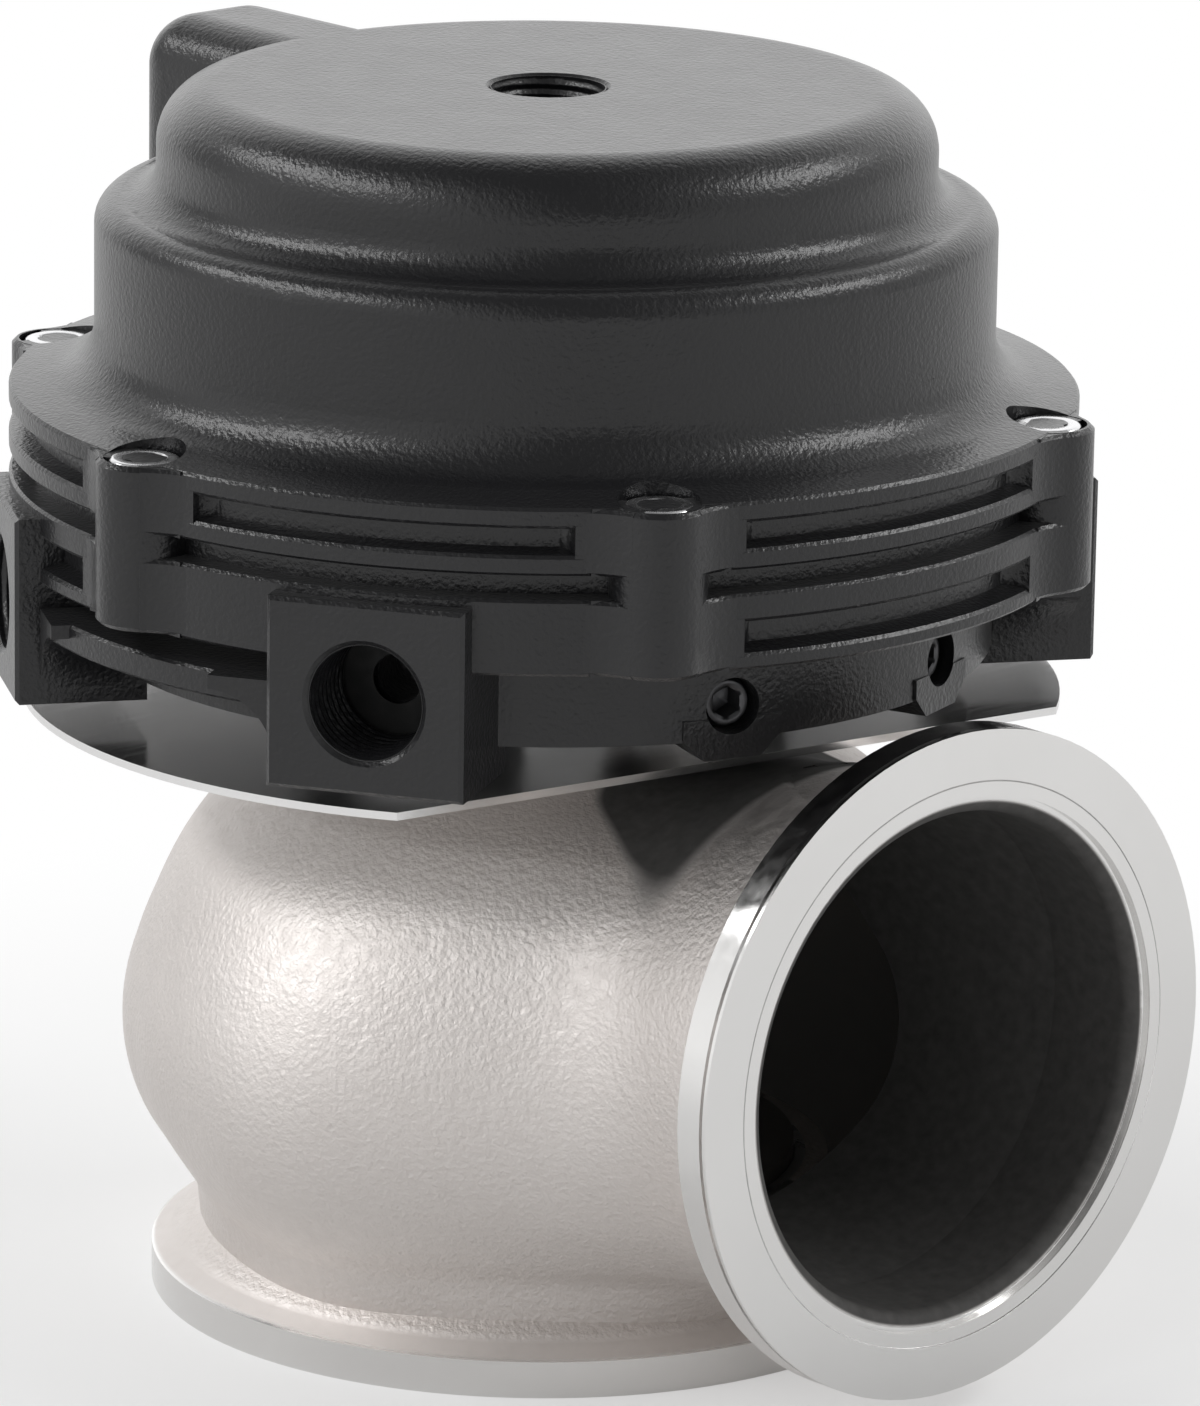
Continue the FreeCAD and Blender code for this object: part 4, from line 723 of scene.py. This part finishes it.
# ---------------------------------------------------------------- springs and diaphragm
def coil(low, high, radius, wire, pitch, columns=20):
    """Round wire spring with a closed and ground turn at each end.

    The wire's centre climbs by its own width over the first and the last turn, and evenly
    between. Rings stand across the wire, and what passes the end planes is flattened on them.
    """
    closed = 0.9
    active = max(2.0, round((high - low - 2 * wire) / pitch * 2) / 2)
    turns = active + 2 * closed
    steps = int(turns * 72)
    along = np.linspace(0, turns, steps)
    ends = np.array([0, closed, closed + active, turns])
    levels = np.array([low + wire * 0.25, low + wire * 1.05, high - wire * 1.05, high - wire * 0.25])
    fine = np.interp(along, ends, levels)
    soft = np.convolve(np.pad(fine, 9, mode="edge"), np.ones(19) / 19, mode="valid")
    angle = along * TURN
    around = np.linspace(0, TURN, columns, endpoint=False)
    out = np.stack([np.cos(angle), np.sin(angle), np.zeros_like(angle)], axis=-1)
    center = out * radius + np.stack([np.zeros_like(soft), np.zeros_like(soft), soft], axis=-1)
    along_wire = np.gradient(center, axis=0)
    along_wire /= np.linalg.norm(along_wire, axis=1)[:, None]
    up = np.cross(along_wire, out)
    up *= np.sign(up[:, 2:3])
    rings = (center[:, None] + wire / 2 * (np.cos(around)[None, :, None] * out[:, None]
                                          + np.sin(around)[None, :, None] * up[:, None]))
    rings = np.concatenate([np.broadcast_to(center[:1, None], (1, columns, 3)), rings,
                            np.broadcast_to(center[-1:, None], (1, columns, 3))])
    rings[..., 2] = np.clip(rings[..., 2], low, high)
    return skin(rings)


# (radius to the wire's middle, wire, pitch), in millimetres
SPRINGS = {"outer_spring": (26.0, 3.2, 6.4), "middle_spring": (20.2, 2.8, 6.0),
           "inner_spring": (14.6, 2.3, 5.4)}
for name, (radius, wire, pitch) in SPRINGS.items():
    low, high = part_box(name)[0][2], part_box(name)[1][2]
    spring = add_piece(name + "_coil", [coil(low, high, radius * MM, wire * MM, pitch * MM)],
                       FINISHES["spring_steel"], sharp=60)
    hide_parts(name)
    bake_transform(spring)


def smooth_line(corners, steps):
    """Quadratic B-spline through the middles of a line's runs, from its first corner to its last."""
    corners = np.array(corners, float)
    middles = (corners[1:] + corners[:-1]) / 2
    part = np.linspace(0, 1, steps, endpoint=False)[:, None]
    curve = [corners[:1]]
    for start, corner, end in zip(middles[:-1], corners[1:-1], middles[1:]):
        curve.append((1 - part) ** 2 * start + 2 * part * (1 - part) * corner + part ** 2 * end)
    curve.append(middles[-1:])
    curve.append(corners[-1:])
    return np.concatenate(curve)


def diaphragm_skin(columns=160):
    """Rolling diaphragm turned about the valve's axis: flat middle, one soft roll, clamped bead."""
    upper = smooth_line([(3.1, 72.7), (20, 72.7), (28.6, 72.7), (31.0, 73.0), (31.3, 74.6), (31.9, 76.7),
                         (33.3, 77.9), (34.8, 77.9), (35.9, 77.0), (36.3, 76.4), (38, 76.4), (43, 76.4)], 6)
    lower = smooth_line([(43, 75.2), (38, 75.2), (36.1, 75.2), (35.5, 75.6), (35.0, 76.6), (34.0, 77.0),
                         (33.2, 76.4), (32.6, 74.6), (32.2, 72.3), (29.6, 71.7), (20, 71.7), (3.1, 71.7)], 6)
    outline = np.concatenate([upper, lower]) * MM
    return skin(turned(outline[:, 0], outline[:, 1], columns), loop=True)


roll = add_piece("diaphragm_roll", [diaphragm_skin()], FINISHES["diaphragm_rubber"])
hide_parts("diaphragm")
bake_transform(roll)


# ---------------------------------------------------------------- floor, light and camera
def studio_floor():
    """Pale floor: plain near the object, and as white as the background further out."""
    mesh = bpy.data.meshes.new("floor")
    size = 6.0
    mesh.from_pydata([(-size, -size, 0), (size, -size, 0), (size, size, 0), (-size, size, 0)], [],
                     [(0, 1, 2, 3)])
    floor = bpy.data.objects.new("floor", mesh)
    bpy.context.scene.collection.objects.link(floor)
    look = Finish("floor", (0.86, 0.86, 0.86), 0.0, 0.9)
    look.set("Specular IOR Level", 0.0)
    path = look.node("ShaderNodeLightPath")
    far = look.far(*look.axes()[:2])
    seen = look.times(path.outputs["Is Camera Ray"], look.between(far, 0.05, 0.15, 0.35, 1.0))
    mirrored = look.math("MAXIMUM", path.outputs["Is Glossy Ray"], path.outputs["Is Transmission Ray"])
    mirrored = look.times(mirrored, look.between(far, 0.20, 1.0))
    glow = look.node("ShaderNodeEmission")
    blend = look.node("ShaderNodeMixShader")
    look.feed(blend.inputs[0], look.math("MAXIMUM", seen, mirrored))
    look.feed(blend.inputs[1], look.surface.outputs[0])
    look.feed(blend.inputs[2], glow.outputs[0])
    look.feed(look.tree.nodes["Material Output"].inputs[0], blend.outputs[0])
    mesh.materials.append(look.material)


def softbox(name, place, aim, width, height, power):
    """Rectangular softbox that faces a point."""
    lamp = bpy.data.lights.new(name, "AREA")
    lamp.shape = "RECTANGLE"
    lamp.size, lamp.size_y = width, height
    lamp.energy = power
    item = bpy.data.objects.new(name, lamp)
    item.location = place
    item.rotation_euler = (Vector(aim) - Vector(place)).to_track_quat("-Z", "Y").to_euler()
    bpy.context.scene.collection.objects.link(item)


# Soft bright parts of the studio: (way, cosines where each begins and is full, strength), behind the
# object, to the left of the view and to its right
STUDIO_DIM = 0.22
STUDIO_BRIGHT = [((-0.71, 0.65, 0.30), 0.50, 0.95, 1.15), ((-0.23, -0.95, 0.05), 0.35, 0.95, 0.92),
                 ((0.70, 0.66, 0.20), 0.35, 0.95, 0.60)]


def studio_world():
    """Studio that is bright behind the object and at its sides, and dim in front and overhead.

    Its background is plain white to the camera alone.
    """
    world = bpy.data.worlds.new("studio")
    bpy.context.scene.world = world
    world.use_nodes = True
    tree = world.node_tree
    tree.nodes.clear()
    direction = tree.nodes.new("ShaderNodeTexCoord")
    total = None
    for way, low, high, strength in STUDIO_BRIGHT:
        toward = tree.nodes.new("ShaderNodeVectorMath")
        toward.operation = "DOT_PRODUCT"
        toward.inputs[1].default_value = Vector(way).normalized()
        tree.links.new(direction.outputs["Generated"], toward.inputs[0])
        lobe = tree.nodes.new("ShaderNodeMapRange")
        lobe.interpolation_type = "SMOOTHSTEP"
        for key, number in (("From Min", low), ("From Max", high), ("To Min", 0), ("To Max", strength)):
            lobe.inputs[key].default_value = number
        tree.links.new(toward.outputs["Value"], lobe.inputs["Value"])
        add = tree.nodes.new("ShaderNodeMath")
        add.inputs[1].default_value = STUDIO_DIM
        tree.links.new(lobe.outputs[0], add.inputs[0])
        if total:
            tree.links.new(total, add.inputs[1])
        total = add.outputs[0]
    path = tree.nodes.new("ShaderNodeLightPath")
    around, white = tree.nodes.new("ShaderNodeBackground"), tree.nodes.new("ShaderNodeBackground")
    around.inputs["Color"].default_value = white.inputs["Color"].default_value = (1, 1, 1, 1)
    tree.links.new(total, around.inputs["Strength"])
    white.inputs["Strength"].default_value = 1.0
    choose = tree.nodes.new("ShaderNodeMixShader")
    output = tree.nodes.new("ShaderNodeOutputWorld")
    tree.links.new(path.outputs["Is Camera Ray"], choose.inputs[0])
    tree.links.new(around.outputs[0], choose.inputs[1])
    tree.links.new(white.outputs[0], choose.inputs[2])
    tree.links.new(choose.outputs[0], output.inputs[0])


def add_camera(place, aim, lens, roll):
    """Camera at a place, aimed at a point, rolled about its line of sight."""
    data = bpy.data.cameras.new("camera")
    data.sensor_fit = "VERTICAL"
    data.sensor_height = 36
    data.lens = lens
    data.clip_start, data.clip_end = 0.01, 50
    camera = bpy.data.objects.new("camera", data)
    sight = (Vector(aim) - Vector(place)).normalized()
    right = sight.cross(Vector((0, 0, 1))).normalized()
    up = right.cross(sight)
    turn = math.radians(roll)
    right, up = right * math.cos(turn) + up * math.sin(turn), up * math.cos(turn) - right * math.sin(turn)
    pose = Matrix((right, up, -sight)).transposed().to_4x4()
    pose.translation = Vector(place)
    camera.matrix_world = pose
    bpy.context.scene.collection.objects.link(camera)
    bpy.context.scene.camera = camera


studio_floor()
softbox("key", place=(-0.42, -0.62, 0.62), aim=(0, 0, 0.08), width=0.95, height=0.15, power=3.5)
softbox("fill", place=(0.47, 0.55, 0.62), aim=(0, 0, 0.08), width=0.50, height=0.18, power=2.2)
studio_world()
add_camera(place=(0.5785, -0.5263, 0.2666), aim=(0.00359, 0.00394, 0.05337), lens=232.9, roll=0.87)
bpy.context.scene.view_settings.view_transform = "Standard"
